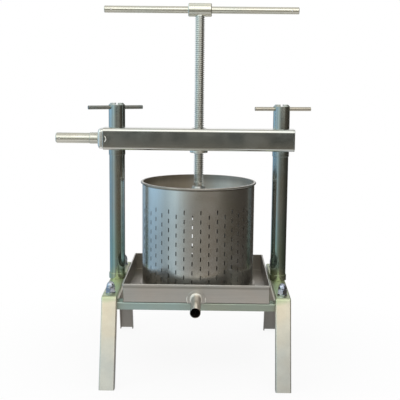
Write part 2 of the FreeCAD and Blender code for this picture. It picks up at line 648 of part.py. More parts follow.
def build_grip():
    """Rounded end block, round nut, tube grip and its plug on a threaded rod."""
    side = f"({size('beam_side')} - 2 * {size('end_cap_inset')})"
    length = size("end_cap_length")
    tongue_end = f"({BEAM_END} - {size('end_tongue_length')})"
    bore = f"{size('grip_rod_radius')} + {size('running_fit')}"
    block = bar_along_x("end_block", f"({length} / 2)", side, size("end_cap_corner"))
    place(block, x=f"-{BEAM_END} - {length} / 2", z=BEAM_AXIS)
    cone_radius = f"{side} / 2 + {size('end_cap_cone')}"
    bevelled = doc.addObject("Part::Cone", "end_block_bevel")
    bind(bevelled, Radius1=cone_radius, Radius2=f"{cone_radius} + {length}", Height=length)
    place(bevelled, x=f"-{CAP_END}", z=BEAM_AXIS, rotation=TO_X)
    shaped = common("end_block_shape", block, bevelled)
    half_tongue = f"({size('end_tongue_length')} / 2)"
    tongue_side = f"({size('beam_side')} - 2 * {size('beam_wall')})"
    tongue_corner = f"({size('beam_corner')} - {size('beam_wall')})"
    tongue = bar_along_x("end_tongue", half_tongue, tongue_side, tongue_corner)
    place(tongue, x=f"-{BEAM_END} + {half_tongue}", z=BEAM_AXIS)
    through = (f"-{CAP_END} - {MARGIN}", f"-{tongue_end} + {MARGIN}")
    hole = rod("end_block_hole", bore, *through, z=BEAM_AXIS, rotation=TO_X)
    piece(cut("beam_end_cap", fuse("end_block_whole", shaped, tongue), hole), "beam_end_cap")

    plug_start = f"({GRIP_END} - {size('grip_plug_depth')})"
    rod_end = f"({plug_start} - {size('grip_rod_gap')})"
    rod_radius = size("grip_rod_radius")
    threaded = rod("grip_rod_bar", rod_radius, f"-{rod_end}", f"-{tongue_end}", z=BEAM_AXIS, rotation=TO_X)
    piece(threaded, "grip_rod")
    nut_radius = size("grip_nut_radius")
    nut_bevel = size("edge_bevel")
    nut_length = size("grip_nut_length")
    round_nut = (
        (bore, "0"),
        (f"{nut_radius} - {nut_bevel}", "0"),
        (nut_radius, nut_bevel),
        (nut_radius, f"{nut_length} - {nut_bevel}"),
        (f"{nut_radius} - {nut_bevel}", nut_length),
        (bore, nut_length),
    )
    piece(place(turned("grip_nut", round_nut), x=f"-{NUT_END}", z=BEAM_AXIS, rotation=TO_X), "grip_nut")
    inner_radius = f"({size('grip_radius')} - {size('grip_wall')})"
    tube_end = f"-{GRIP_END} + {size('grip_plug_bevel')}"
    tube = rod("grip_tube_bar", size("grip_radius"), tube_end, f"-{NUT_END}", z=BEAM_AXIS, rotation=TO_X)
    hollow_end = f"-{NUT_END} - {size('grip_neck_length')}"
    hollow = rod("grip_tube_hollow", inner_radius, f"-{GRIP_END}", hollow_end, z=BEAM_AXIS, rotation=TO_X)
    neck = rod("grip_tube_neck", bore, hollow_end, f"-{NUT_END}", z=BEAM_AXIS, rotation=TO_X)
    cross = grip_cross_hole("grip_tube_cross_hole")
    piece(cut("grip_tube", tube, hollow, neck, cross), "grip_tube")
    plug_radius = f"{inner_radius} - {size('running_fit')}"
    stopper = rod("grip_plug_bar", plug_radius, tube_end, f"-{plug_start}", z=BEAM_AXIS, rotation=TO_X)
    face = doc.addObject("Part::Cone", "grip_plug_face")
    bind(
        face,
        Radius1=f"{size('grip_radius')} - {size('grip_plug_bevel')}",
        Radius2=size("grip_radius"),
        Height=size("grip_plug_bevel"),
    )
    place(face, x=f"-{GRIP_END}", z=BEAM_AXIS, rotation=TO_X)
    plug = fuse("grip_plug_whole", stopper, face)
    piece(cut("grip_plug", plug, grip_cross_hole("grip_plug_cross_hole")), "grip_plug")


def build_clamp(side, x):
    """Long round nut with a slotted top, its tommy bar and the pin that holds the bar."""
    base = f"({BEAM_TOP} + {size('seat_gap')})"
    radius = f"({size('stud_radius')} + {size('clamp_wall')})"
    bevel = size("clamp_bevel")
    above = f"({CLAMP_TOP} + {MARGIN})"
    reach = f"({radius} + {MARGIN})"
    profile = (
        (STUD_HOLE, base),
        (radius, base),
        (radius, f"{CLAMP_TOP} - {bevel}"),
        (f"{radius} - {bevel}", CLAMP_TOP),
        ("0", CLAMP_TOP),
        ("0", STUD_HOLE_TOP),
        (STUD_HOLE, STUD_HOLE_TOP),
    )
    body = turned(f"{side}_clamp_body", profile)
    half_slot = f"({size('clamp_slot_width')} / 2)"
    slot = box(f"{side}_clamp_slot", (f"-{half_slot}", half_slot), (f"-{reach}", reach), (SLOT_BASE, above))
    outward = "-" if side == "left" else "+"
    bar_start = f"({outward} {size('clamp_bar_shift')} - {size('clamp_bar_length')} / 2)"
    along = Rotation(Vector(0, 0, 1), value(size(f"{side}_bar_angle"))).multiply(TO_X)
    cosine = f"cos({size(f'{side}_bar_angle')})"
    sine = f"sin({size(f'{side}_bar_angle')})"
    hole = doc.addObject("Part::Cylinder", f"{side}_clamp_bar_hole")
    bind(hole, Radius=BAR_HOLE, Height=f"{reach} * 2")
    place(hole, f"-{reach} * {cosine}", f"-{reach} * {sine}", BAR_AXIS, along)
    pin_fit = f"{size('bar_pin_radius')} + {size('running_fit')}"
    pin_hole = rod(f"{side}_clamp_pin_hole", pin_fit, STUD_HOLE_TOP, above)
    nut = cut(f"{side}_clamp_nut", body, slot, hole, pin_hole)
    piece(place(nut, x=x), f"{side}_clamp_nut")

    bar = doc.addObject("Part::Cylinder", f"{side}_clamp_bar_round")
    bind(bar, Radius=size("clamp_bar_radius"), Height=size("clamp_bar_length"))
    place(bar, f"{bar_start} * {cosine}", f"{bar_start} * {sine}", BAR_AXIS, along)
    bar_hole = rod(f"{side}_bar_pin_hole", pin_fit, STUD_HOLE_TOP, above)
    piece(place(cut(f"{side}_clamp_bar", bar, bar_hole), x=x), f"{side}_clamp_bar")
    pin = rod(f"{side}_bar_pin_round", size("bar_pin_radius"), STUD_HOLE_TOP, SLOT_BASE)
    piece(place(group(f"{side}_bar_pin", pin), x=x), f"{side}_bar_pin")


def build_screw_nut():
    """Flanged nut pushed up through the beam, its flange under the beam."""
    flange_base = f"({BEAM_BASE} - {size('nut_flange_thickness')})"
    flange_radius = f"({NUT_RADIUS} + {size('nut_flange_step')})"
    bevel = size("edge_bevel")
    profile = (
        (SCREW_HOLE, flange_base),
        (f"{flange_radius} - {bevel}", flange_base),
        (flange_radius, f"{flange_base} + {bevel}"),
        (flange_radius, BEAM_BASE),
        (NUT_RADIUS, BEAM_BASE),
        (NUT_RADIUS, BEAM_TOP),
        (SCREW_HOLE, BEAM_TOP),
    )
    piece(turned("screw_nut", profile), "screw_nut")


def build_spindle():
    """Screw with a grooved journal below, and the T-handle on its top."""
    axis = size("handle_height")
    socket_top = f"({axis} - {size('handle_radius')} - {size('hub_web')})"
    journal_base = f"({BOSS_BASE} + {size('journal_floor')})"
    half_groove = f"({size('groove_width')} / 2)"
    shoulder = f"({size('boss_top')} + {size('seat_gap')})"
    profile = (
        ("0", journal_base),
        (JOURNAL_RADIUS, journal_base),
        (JOURNAL_RADIUS, f"{GROOVE_AXIS} - {half_groove}"),
        (GROOVE_RADIUS, f"{GROOVE_AXIS} - {half_groove}"),
        (GROOVE_RADIUS, f"{GROOVE_AXIS} + {half_groove}"),
        (JOURNAL_RADIUS, f"{GROOVE_AXIS} + {half_groove}"),
        (JOURNAL_RADIUS, shoulder),
        (size("screw_radius"), shoulder),
        (size("screw_radius"), socket_top),
        ("0", socket_top),
    )
    piece(turned("press_screw", profile), "press_screw")

    half_hub = f"({size('hub_length')} / 2)"
    bevel = size("hub_bevel")
    sleeve = (
        ("0", f"-{half_hub}"),
        (f"{HUB_RADIUS} - {bevel}", f"-{half_hub}"),
        (HUB_RADIUS, f"-{half_hub} + {bevel}"),
        (HUB_RADIUS, f"{half_hub} - {bevel}"),
        (f"{HUB_RADIUS} - {bevel}", half_hub),
        ("0", half_hub),
    )
    hub_body = place(turned("hub_sleeve", sleeve), z=axis, rotation=TO_X)
    bar_bore = rod(
        "hub_bar_bore", f"{size('handle_radius')} + {size('running_fit')}",
        f"-{half_hub} - {MARGIN}", f"{half_hub} + {MARGIN}", z=axis, rotation=TO_X,
    )
    hub_base = f"({axis} - {HUB_RADIUS})"
    hub_top = f"({axis} + {HUB_RADIUS})"
    socket = rod("hub_socket_bore", SCREW_HOLE, f"{hub_base} - {MARGIN}", socket_top)
    pin_x = size("handle_pin_offset")
    pin_fit = f"{size('handle_pin_radius')} + {size('running_fit')}"
    hub_pin_hole = rod("hub_pin_hole", pin_fit, f"{hub_base} - {MARGIN}", f"{hub_top} + {MARGIN}", x=pin_x)
    piece(cut("handle_hub", hub_body, bar_bore, socket, hub_pin_hole), "handle_hub")

    half_bar = f"({size('handle_length')} / 2)"
    radius = size("handle_radius")
    end_bevel = size("edge_bevel")
    shaft = (
        ("0", f"-{half_bar}"),
        (f"{radius} - {end_bevel}", f"-{half_bar}"),
        (radius, f"-{half_bar} + {end_bevel}"),
        (radius, f"{half_bar} - {end_bevel}"),
        (f"{radius} - {end_bevel}", half_bar),
        ("0", half_bar),
    )
    bar = place(turned("handle_shaft", shaft), x=size("handle_shift"), z=axis, rotation=TO_X)
    holes = [rod("bar_pin_hole", pin_fit, hub_base, hub_top, x=pin_x)]
    reach = f"({radius} + {MARGIN})"
    hole_radius = size("handle_hole_radius")
    for side, sign in (("left", "-"), ("right", "+")):
        hole_x = f"{size('handle_shift')} {sign} ({half_bar} - {size('handle_hole_inset')})"
        hole = rod(f"bar_{side}_hole", hole_radius, f"-{reach}", reach, x=hole_x, z=axis, rotation=TO_Y)
        holes.append(hole)
    piece(cut("handle_bar", bar, *holes), "handle_bar")
    sunk = size("fine_bevel")
    pin_radius = size("handle_pin_radius")
    pin = rod("handle_pin_round", pin_radius, f"{hub_base} + {sunk}", f"{hub_top} - {sunk}", x=pin_x)
    piece(pin, "handle_pin")


def build_press_head():
    """Boss that the journal turns in, its set screw, the pressing plate and four gussets."""
    bore = f"({JOURNAL_RADIUS} + {size('running_fit')})"
    radius = size("boss_radius")
    top = size("boss_top")
    journal_base = f"({BOSS_BASE} + {size('journal_floor')} - {size('seat_gap')})"
    profile = (
        ("0", BOSS_BASE),
        (radius, BOSS_BASE),
        (radius, f"{top} - {size('boss_bevel_height')}"),
        (f"{radius} - {size('boss_bevel_width')}", top),
        (bore, top),
        (bore, journal_base),
        ("0", journal_base),
    )
    screw_fit = f"{SET_SCREW_RADIUS} + {size('running_fit')}"
    outside = f"{radius} + {MARGIN}"
    screw_hole = rod("boss_screw_hole", screw_fit, GROOVE_RADIUS, outside, z=GROOVE_AXIS, rotation=TO_Y)
    piece(cut("thrust_boss", turned("thrust_boss_body", profile), screw_hole), "thrust_boss")
    tip = f"({GROOVE_RADIUS} + {size('seat_gap')})"
    sunk = f"{radius} - {size('fine_bevel')}"
    piece(rod("set_screw_round", SET_SCREW_RADIUS, tip, sunk, z=GROOVE_AXIS, rotation=TO_Y), "boss_set_screw")

    plate_radius = f"({size('basket_radius')} - {size('basket_wall')} - {size('plate_gap')})"
    bevel = size("edge_bevel")
    disc = (
        ("0", PLATE_BASE),
        (f"{plate_radius} - {bevel}", PLATE_BASE),
        (plate_radius, f"{PLATE_BASE} + {bevel}"),
        (plate_radius, f"{BOSS_BASE} - {bevel}"),
        (f"{plate_radius} - {bevel}", BOSS_BASE),
        ("0", BOSS_BASE),
    )
    piece(turned("pressing_plate", disc), "pressing_plate")
    start = f"({radius} + {size('running_fit')})"
    end = f"({radius} + {size('gusset_length')})"
    wedge = (
        (start, BOSS_BASE),
        (end, BOSS_BASE),
        (end, f"{BOSS_BASE} + {size('gusset_tip')}"),
        (start, f"{BOSS_BASE} + {size('gusset_height')}"),
    )
    gussets = []
    for number in range(4):
        gusset = padded(f"gusset_{number}", "XZ_Plane", wedge, size("gusset_thickness"))
        place(gusset, rotation=Rotation(Vector(0, 0, 1), 45 + 90 * number))
        gussets.append(gusset)
    piece(group("plate_gusset_group", *gussets), "plate_gussets")


def build_basket():
    """Bottomless cylinder of two perforated sheets, front and back, and the bead round its rim."""
    radius = value(size("basket_radius"))
    wall = value(size("basket_wall"))
    base = value(BASKET_BASE)
    top = value(size("basket_top"))
    outside = Part.makeCylinder(radius, top - base, Vector(0, 0, base))
    inside = Part.makeCylinder(radius - wall, top - base, Vector(0, 0, base))
    length = value(size("slot_length"))
    width = value(size("slot_width"))
    pitch = value(size("slot_pitch"))
    first = top - value(size("slot_top"))
    step = value(size("column_step"))
    reach = wall + 2 * value(MARGIN)
    lowest = base + value(size("slot_margin"))
    raised = first + value(size("back_raise"))
    sheets = (
        (-value(size("front_start")), value(size("front_columns")), first),
        (value(size("back_start")), value(size("back_columns")), raised),
    )
    slots = []
    for start, columns, highest in sheets:
        for column in range(int(columns)):
            angle = start + step * column
            middle = highest - (pitch / 2 if column % 2 else 0)
            while middle - length / 2 > lowest:
                corner = Vector(-width / 2, -radius - reach / 2, middle - length / 2)
                slot = Part.makeBox(width, reach, length, corner)
                slot.rotate(Vector(), Vector(0, 0, 1), angle)
                slots.append(slot)
                middle -= pitch
    shell = doc.addObject("Part::Feature", "basket_shell_sheet")
    shell.Shape = outside.cut(inside).cut(slots)
    piece(shell, "basket_shell")

    bead_bore = f"({size('basket_radius')} + {size('running_fit')})"
    bead = f"({size('basket_radius')} + {size('rim_width')})"
    rim_top = size("basket_top")
    rim_base = f"({rim_top} - {size('rim_depth')})"
    bevel = size("rim_bevel")
    section = (
        (bead_bore, rim_base),
        (f"{bead} - {bevel}", rim_base),
        (bead, f"{rim_base} + {bevel}"),
        (bead, f"{rim_top} - {bevel}"),
        (f"{bead} - {bevel}", rim_top),
        (bead_bore, rim_top),
    )
    piece(turned("basket_rim", section), "basket_rim")


def build_tray():
    """Square sheet tray with a folded hem, an outlet pipe, its plate and its weld."""
    half = TRAY_WALL_HALF
    wall = size("tray_wall")
    hem = TRAY_HALF
    hem_base = f"({TRAY_TOP} - {size('hem_height')})"
    outside = box("tray_outside", (f"-{half}", half), (f"-{half}", half), (TRAY_BASE, TRAY_TOP))
    fold = box("tray_hem", (f"-{hem}", hem), (f"-{hem}", hem), (hem_base, TRAY_TOP))
    inner = f"({half} - {wall})"
    inside = (f"{TRAY_BASE} + {wall}", f"{TRAY_TOP} + {MARGIN}")
    hollow = box("tray_hollow", (f"-{inner}", inner), (f"-{inner}", inner), inside)
    pipe = size("spout_radius")
    outlet = rod(
        "tray_outlet", f"{pipe} + {size('running_fit')}", f"-{half} - {MARGIN}", f"-{inner}",
        z=SPOUT_AXIS, rotation=TO_Y,
    )
    shell = fuse("tray_whole", outside, fold)
    piece(cut("juice_tray", shell, hollow, outlet), "juice_tray")

    mouth = f"(-{half} - {size('spout_reach')})"
    bore_radius = f"{pipe} - {size('spout_wall')}"
    tube = rod("spout_tube", pipe, mouth, f"-{inner}", z=SPOUT_AXIS, rotation=TO_Y)
    open_ends = (f"{mouth} - {MARGIN}", f"-{inner} + {MARGIN}")
    bore = rod("spout_bore", bore_radius, *open_ends, z=SPOUT_AXIS, rotation=TO_Y)
    piece(cut("tray_spout", tube, bore), "tray_spout")

    plate_face = f"(-{half} - {size('spout_plate_thickness')})"
    around = f"{pipe} + {size('running_fit')}"
    plate_radius = f"{pipe} + {size('spout_plate_margin')}"
    through = (f"{plate_face} - {MARGIN}", f"-{half} + {MARGIN}")
    disc = rod("spout_plate_disc", plate_radius, plate_face, f"-{half}", z=SPOUT_AXIS, rotation=TO_Y)
    plate_hole = rod("spout_plate_hole", around, *through, z=SPOUT_AXIS, rotation=TO_Y)
    keep = box("spout_plate_area", (f"-{half}", half), through, (TRAY_BASE, hem_base))
    piece(cut("spout_plate", common("spout_plate_trimmed", disc, keep), plate_hole), "spout_plate")

    weld_face = f"({plate_face} - {size('weld_width')})"
    cone = doc.addObject("Part::Cone", "spout_weld_cone")
    width = size("weld_width")
    bind(cone, Radius1=f"{around} + {size('weld_edge')}", Radius2=f"{pipe} + {width}", Height=width)
    place(cone, y=weld_face, z=SPOUT_AXIS, rotation=TO_Y)
    weld_through = (f"{weld_face} - {MARGIN}", plate_face)
    weld_hole = rod("spout_weld_hole", around, *weld_through, z=SPOUT_AXIS, rotation=TO_Y)
    piece(cut("spout_weld", cone, weld_hole), "spout_weld")


def build_drain():
    """Perforated drain plate on three bars, between the basket and the tray's floor."""
    floor = f"({TRAY_BASE} + {size('tray_wall')})"
    bars = []
    for number, offset in enumerate(("-1", "0", "1")):
        middle = f"{offset} * {size('drain_bar_spacing')}"
        half = f"{size('drain_bar_width')} / 2"
        reach = f"(sqrt({DRAIN_RADIUS}^2 - {size('drain_bar_spacing')}^2) - {size('drain_bar_inset')})"
        across = (f"{middle} - {half}", f"{middle} + {half}")
        bars.append(box(f"drain_bar_{number}", across, (f"-{reach}", reach), (floor, DRAIN_BASE)))
    piece(group("drain_bar_group", *bars), "drain_bars")
    radius = value(DRAIN_RADIUS)
    base = value(DRAIN_BASE)
    thickness = value(size("drain_thickness"))
    hole_radius = value(size("drain_hole_radius"))
    step = value(size("drain_ring_step"))
    reach = value(MARGIN)
    plate = Part.makeCylinder(radius, thickness, Vector(0, 0, base))
    holes = []
    for ring in range(1, int((radius - 2 * hole_radius) / step) + 1):
        ring_radius = ring * step
        count = 6 * ring
        for number in range(count):
            angle = 2 * math.pi * number / count
            centre = Vector(ring_radius * math.cos(angle), ring_radius * math.sin(angle), base - reach)
            holes.append(Part.makeCylinder(hole_radius, thickness + 2 * reach, centre))
    drain = doc.addObject("Part::Feature", "drain_plate_sheet")
    drain.Shape = plate.cut(holes)
    piece(drain, "drain_plate")


def write_parts():
    """Check every object and every sub-part, then write one file for each."""
    doc.recompute()
    for feature in doc.Objects:
        if "Invalid" in feature.State or "Error" in feature.State:
            raise RuntimeError(f"{feature.Label} is {feature.State}")
    for feature in pieces:
        shape = feature.Shape
        if shape.isNull() or not shape.isValid() or not shape.Solids:
            raise RuntimeError(f"{feature.Label} has no valid shape")
    for feature in pieces:
        feature.Shape.exportStep(f"parts/{feature.Label}.step")
        box_of = feature.Shape.BoundBox
        print(
            f"{feature.Label}: {len(feature.Shape.Solids)} solids, {feature.Shape.Volume:.0f} mm3, "
            f"X {box_of.XMin:.1f} to {box_of.XMax:.1f}, Y {box_of.YMin:.1f} to {box_of.YMax:.1f}, "
            f"Z {box_of.ZMin:.1f} to {box_of.ZMax:.1f}"
        )


build_frame()
build_rail_fasteners()
build_posts()
build_beam()
build_grip()
build_clamp("left", f"-{HALF_SPACING}")
build_clamp("right", HALF_SPACING)
build_screw_nut()
build_spindle()
build_press_head()
build_basket()
build_tray()
build_drain()
write_parts()
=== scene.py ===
"""Looks of the fruit press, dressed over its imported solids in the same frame.

X runs across the press, Y from front to back and Z up, with the origin on the floor below the
screw. Shapes are worked out in millimetres and put into meshes in metres.
"""
from __future__ import annotations

import logging
import math
from dataclasses import dataclass, field, replace
from enum import Enum

import bmesh
import bpy
import numpy as np
from mathutils import Matrix, Vector

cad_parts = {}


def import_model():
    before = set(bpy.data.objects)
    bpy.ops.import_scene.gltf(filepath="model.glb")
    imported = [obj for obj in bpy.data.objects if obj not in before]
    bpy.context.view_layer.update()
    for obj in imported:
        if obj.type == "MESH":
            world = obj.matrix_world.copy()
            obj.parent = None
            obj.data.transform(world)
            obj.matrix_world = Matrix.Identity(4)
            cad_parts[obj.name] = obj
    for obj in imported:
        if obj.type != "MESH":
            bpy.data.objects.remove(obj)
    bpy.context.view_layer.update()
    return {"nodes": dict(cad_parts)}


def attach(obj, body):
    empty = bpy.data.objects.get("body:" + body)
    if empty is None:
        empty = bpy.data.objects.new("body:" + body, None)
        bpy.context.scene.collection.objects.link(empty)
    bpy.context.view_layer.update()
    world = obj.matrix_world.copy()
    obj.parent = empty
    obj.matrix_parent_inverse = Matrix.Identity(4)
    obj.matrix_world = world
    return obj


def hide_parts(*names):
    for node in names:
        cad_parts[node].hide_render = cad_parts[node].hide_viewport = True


log = logging.getLogger("fruit_press")

MM = 0.001
MERGE = 2e-6
Colour = tuple[float, float, float]
Point = tuple[float, float, float]
Range = tuple[float, float]


def full_turn(steps: int) -> np.ndarray:
    """Angles in equal steps round a full turn, in radians."""
    return np.linspace(0, math.tau, steps, endpoint=False)


def rounded(
    corners: np.ndarray, radii: np.ndarray | float, steps: int = 4, closed: bool = True
) -> np.ndarray:
    """Round the corners of polylines by arcs, all at once.

    Each corner gets an arc tangent to both of its sides: with turning angle a and radius r it
    starts r * tan(a / 2) before the corner, and its points turn round the arc's centre in equal
    steps. A corner of radius 0 gives the same point repeated, which merges later.

    Args:
        corners: points, shape (..., n, 2).
        radii: one radius, or one for each corner.
        steps: arc steps at each corner.
        closed: whether the last corner joins the first.

    Returns:
        Points of shape (..., n * (steps + 1), 2).
    """
    corners = np.asarray(corners, float)
    radii = np.broadcast_to(np.asarray(radii, float), corners.shape[:-1])
    before = corners - np.roll(corners, 1, axis=-2)
    after = np.roll(corners, -1, axis=-2) - corners
    if not closed:
        before[..., 0, :] = after[..., 0, :]
        after[..., -1, :] = before[..., -1, :]
    before = before / np.linalg.norm(before, axis=-1, keepdims=True)
    after = after / np.linalg.norm(after, axis=-1, keepdims=True)
    cross = before[..., 0] * after[..., 1] - before[..., 1] * after[..., 0]
    turn = np.arctan2(cross, (before * after).sum(-1))
    reach = radii * np.tan(np.abs(turn) / 2)
    side = np.stack([-before[..., 1], before[..., 0]], -1) * np.sign(turn)[..., None]
    centre = corners - before * reach[..., None] + side * radii[..., None]
    start = -side * radii[..., None]
    straight = np.sign(turn) == 0
    centre = np.where(straight[..., None], corners, centre)
    start = np.where(straight[..., None], 0.0, start)
    angle = turn[..., None] * np.linspace(0, 1, steps + 1)
    cosine, sine = np.cos(angle), np.sin(angle)
    x = centre[..., None, 0] + start[..., None, 0] * cosine - start[..., None, 1] * sine
    y = centre[..., None, 1] + start[..., None, 0] * sine + start[..., None, 1] * cosine
    return np.stack([x, y], -1).reshape(corners.shape[:-2] + (-1, 2))


def rounded_squares(halves: np.ndarray, radii: np.ndarray, steps: int = 6) -> np.ndarray:
    """Outlines of rounded squares, one for each pair of half width and corner radius.

    Args:
        halves: half widths, shape (n,).
        radii: corner radii, shape (n,).
        steps: arc steps at each corner.

    Returns:
        Points of shape (n, 4 * (steps + 1), 2).
    """
    signs = np.array([(-1, -1), (1, -1), (1, 1), (-1, 1)], float)
    corners = np.asarray(halves, float)[:, None, None] * signs
    return rounded(corners, np.asarray(radii, float)[:, None] * np.ones(4), steps)


class Axis(Enum):
    """Direction of a turned or drawn shape's own axis, as the order of the three coordinates."""

    X = (1, 2, 0)
    Y = (2, 0, 1)
    Z = (0, 1, 2)

    def oriented(self, local: np.ndarray) -> np.ndarray:
        """Turn points so that their third coordinate runs along this axis.

        Args:
            local: points, shape (..., 3).

        Returns:
            The same points in the press's frame.
        """
        out = np.empty_like(local)
        out[..., list(self.value)] = local
        return out


def revolved(profile: np.ndarray, steps: int = 64, axis: Axis = Axis.Z) -> np.ndarray:
    """Turn a profile round an axis: each point (radius, height) runs round a circle.

    Args:
        profile: points (radius, height), shape (n, 2).
        steps: points round the circle.
        axis: the axis it turns about.

    Returns:
        Grid of shape (n, steps, 3), whose columns wrap round.
    """
    angle = full_turn(steps)
    radius, height = np.asarray(profile, float).T[..., None]
    local = np.broadcast_arrays(radius * np.cos(angle), radius * np.sin(angle), height)
    return axis.oriented(np.stack(local, -1))


def ring_profile(
    inner: float, outer: float, low: float, high: float, edges: np.ndarray | float, steps: int = 3
) -> np.ndarray:
    """Section of a ring with rounded edges.

    Args:
        inner: radius inside.
        outer: radius outside.
        low: height of one face.
        high: height of the other face.
        edges: radius of the edges, one for all or one each: inner low, outer low, outer high,
            inner high.
        steps: arc steps at each edge.

    Returns:
        Points (radius, height), shape (4 * (steps + 1), 2).
    """
    corners = np.array([(inner, low), (outer, low), (outer, high), (inner, high)])
    return rounded(corners, edges, steps)


def shifted(grid: np.ndarray, x: float = 0, y: float = 0, z: float = 0) -> np.ndarray:
    """A grid moved by x, y and z."""
    return grid + np.array([x, y, z], float)


def quads_between(index: np.ndarray) -> np.ndarray:
    """Four-sided faces between the rows and columns of a grid of point numbers."""
    corners = index[:-1, :-1], index[:-1, 1:], index[1:, 1:], index[1:, :-1]
    return np.stack(corners, -1).reshape(-1, 4)


class Surface:
    """Patches of points in millimetres that become one mesh in metres."""

    def __init__(self) -> None:
        """Start with no patch."""
        self.points: list[np.ndarray] = []
        self.faces: list[list[int]] = []
        self.count = 0

    def grid(
        self, points: np.ndarray, wrap_rows: bool = False, wrap_columns: bool = False, climb: int = 0
    ) -> "Surface":
        """Add a grid of points and the four-sided faces between its rows and columns.

        Args:
            points: grid, shape (rows, columns, 3).
            wrap_rows: whether the last row joins the first.
            wrap_columns: whether the last column joins the first.
            climb: rows that the surface climbs in one turn, as a thread does.

        Returns:
            This surface.
        """
        rows, columns = points.shape[:2]
        index = np.arange(rows * columns).reshape(rows, columns) + self.count
        if wrap_columns:
            seam = index[np.minimum(np.arange(rows) + climb, rows - 1), 0]
            index = np.concatenate([index, seam[:, None]], axis=1)
        if wrap_rows:
            index = np.concatenate([index, index[:1]], axis=0)
        self._add(points.reshape(-1, 3), quads_between(index))
        return self

    def cells(self, points: np.ndarray, quads: np.ndarray) -> "Surface":
        """Add the same few faces over many places.

        Args:
            points: shape (places, points of one cell, 3).
            quads: faces of one cell, shape (faces, 4).

        Returns:
            This surface.
        """
        places, each = points.shape[:2]
        offsets = np.arange(places)[:, None, None] * each + self.count
        self._add(points.reshape(-1, 3), (quads[None] + offsets).reshape(-1, 4))
        return self

    def cap(self, ring: np.ndarray) -> "Surface":
        """Close a ring of points, shape (n, 3), with one flat face."""
        self._add(ring, np.arange(len(ring))[None] + self.count)
        return self

    def solid(self, grid: np.ndarray) -> "Surface":
        """Add a grid that wraps round in its columns, with both ends capped flat."""
        return self.grid(grid, wrap_columns=True).cap(grid[0]).cap(grid[-1])

    def closed(self, grid: np.ndarray) -> "Surface":
        """Add a grid whose rows and columns both wrap round, as on a hoop or a tube with a bore."""
        return self.grid(grid, wrap_rows=True, wrap_columns=True)

    def _add(self, points: np.ndarray, faces: np.ndarray) -> None:
        """Take points and the faces that use them.

        Args:
            points: shape (n, 3).
            faces: each face's point numbers, counted over all patches.
        """
        self.points.append(points)
        self.faces.extend(faces.tolist())
        self.count += len(points)

    def made(self, name: str, sharp: float = 38) -> bpy.types.Object:
        """Make the mesh: merge seams and poles, turn faces outwards, keep edges sharp.

        Args:
            name: the piece's name.
            sharp: angle in degrees over which an edge stays sharp.

        Returns:
            The new object, at the origin.
        """
        mesh = bpy.data.meshes.new(name)
        mesh.from_pydata(np.concatenate(self.points) * MM, [], self.faces)
        piece = finished(mesh, name, sharp)
        keep_flat(piece)
        return piece


def finished(mesh: bpy.types.Mesh, name: str, sharp: float) -> bpy.types.Object:
    """Merge a mesh's doubles, turn its faces outwards, shade it and put it into the scene.

    Args:
        mesh: the mesh, with its place in its vertices.
        name: the piece's name.
        sharp: angle in degrees over which an edge stays sharp.

    Returns:
        The object that shows the mesh.
    """
    work = bmesh.new()
    work.from_mesh(mesh)
    bmesh.ops.remove_doubles(work, verts=work.verts, dist=MERGE)
    bmesh.ops.dissolve_degenerate(work, edges=work.edges, dist=MERGE)
    bmesh.ops.recalc_face_normals(work, faces=work.faces)
    work.to_mesh(mesh)
    work.free()
    mesh.shade_smooth()
    mesh.set_sharp_from_angle(angle=math.radians(sharp))
    piece = bpy.data.objects.new(name, mesh)
    bpy.context.scene.collection.objects.link(piece)
    return piece


def keep_flat(piece: bpy.types.Object) -> None:
    """Weight a piece's normals by area, so that flat faces look flat beside rounded edges."""
    flat = piece.modifiers.new("flat_faces_stay_flat", "WEIGHTED_NORMAL")
    flat.keep_sharp = True


def face_middles(piece: bpy.types.Object) -> np.ndarray:
    """Middles of a piece's faces in millimetres.

    Args:
        piece: the piece, with its place in its mesh.

    Returns:
        Points of shape (faces, 3).
    """
    middles = np.empty(3 * len(piece.data.polygons))
    piece.data.polygons.foreach_get("center", middles)
    return middles.reshape(-1, 3) / MM


class Grain(Enum):
    """Direction of brushing or drawing: how fast the grain changes along X, Y and Z."""

    ALONG_X = (0.02, 1.0, 1.0)
    ALONG_Y = (1.0, 0.02, 1.0)
    ALONG_Z = (1.0, 1.0, 0.02)
    EVEN = (1.0, 1.0, 1.0)


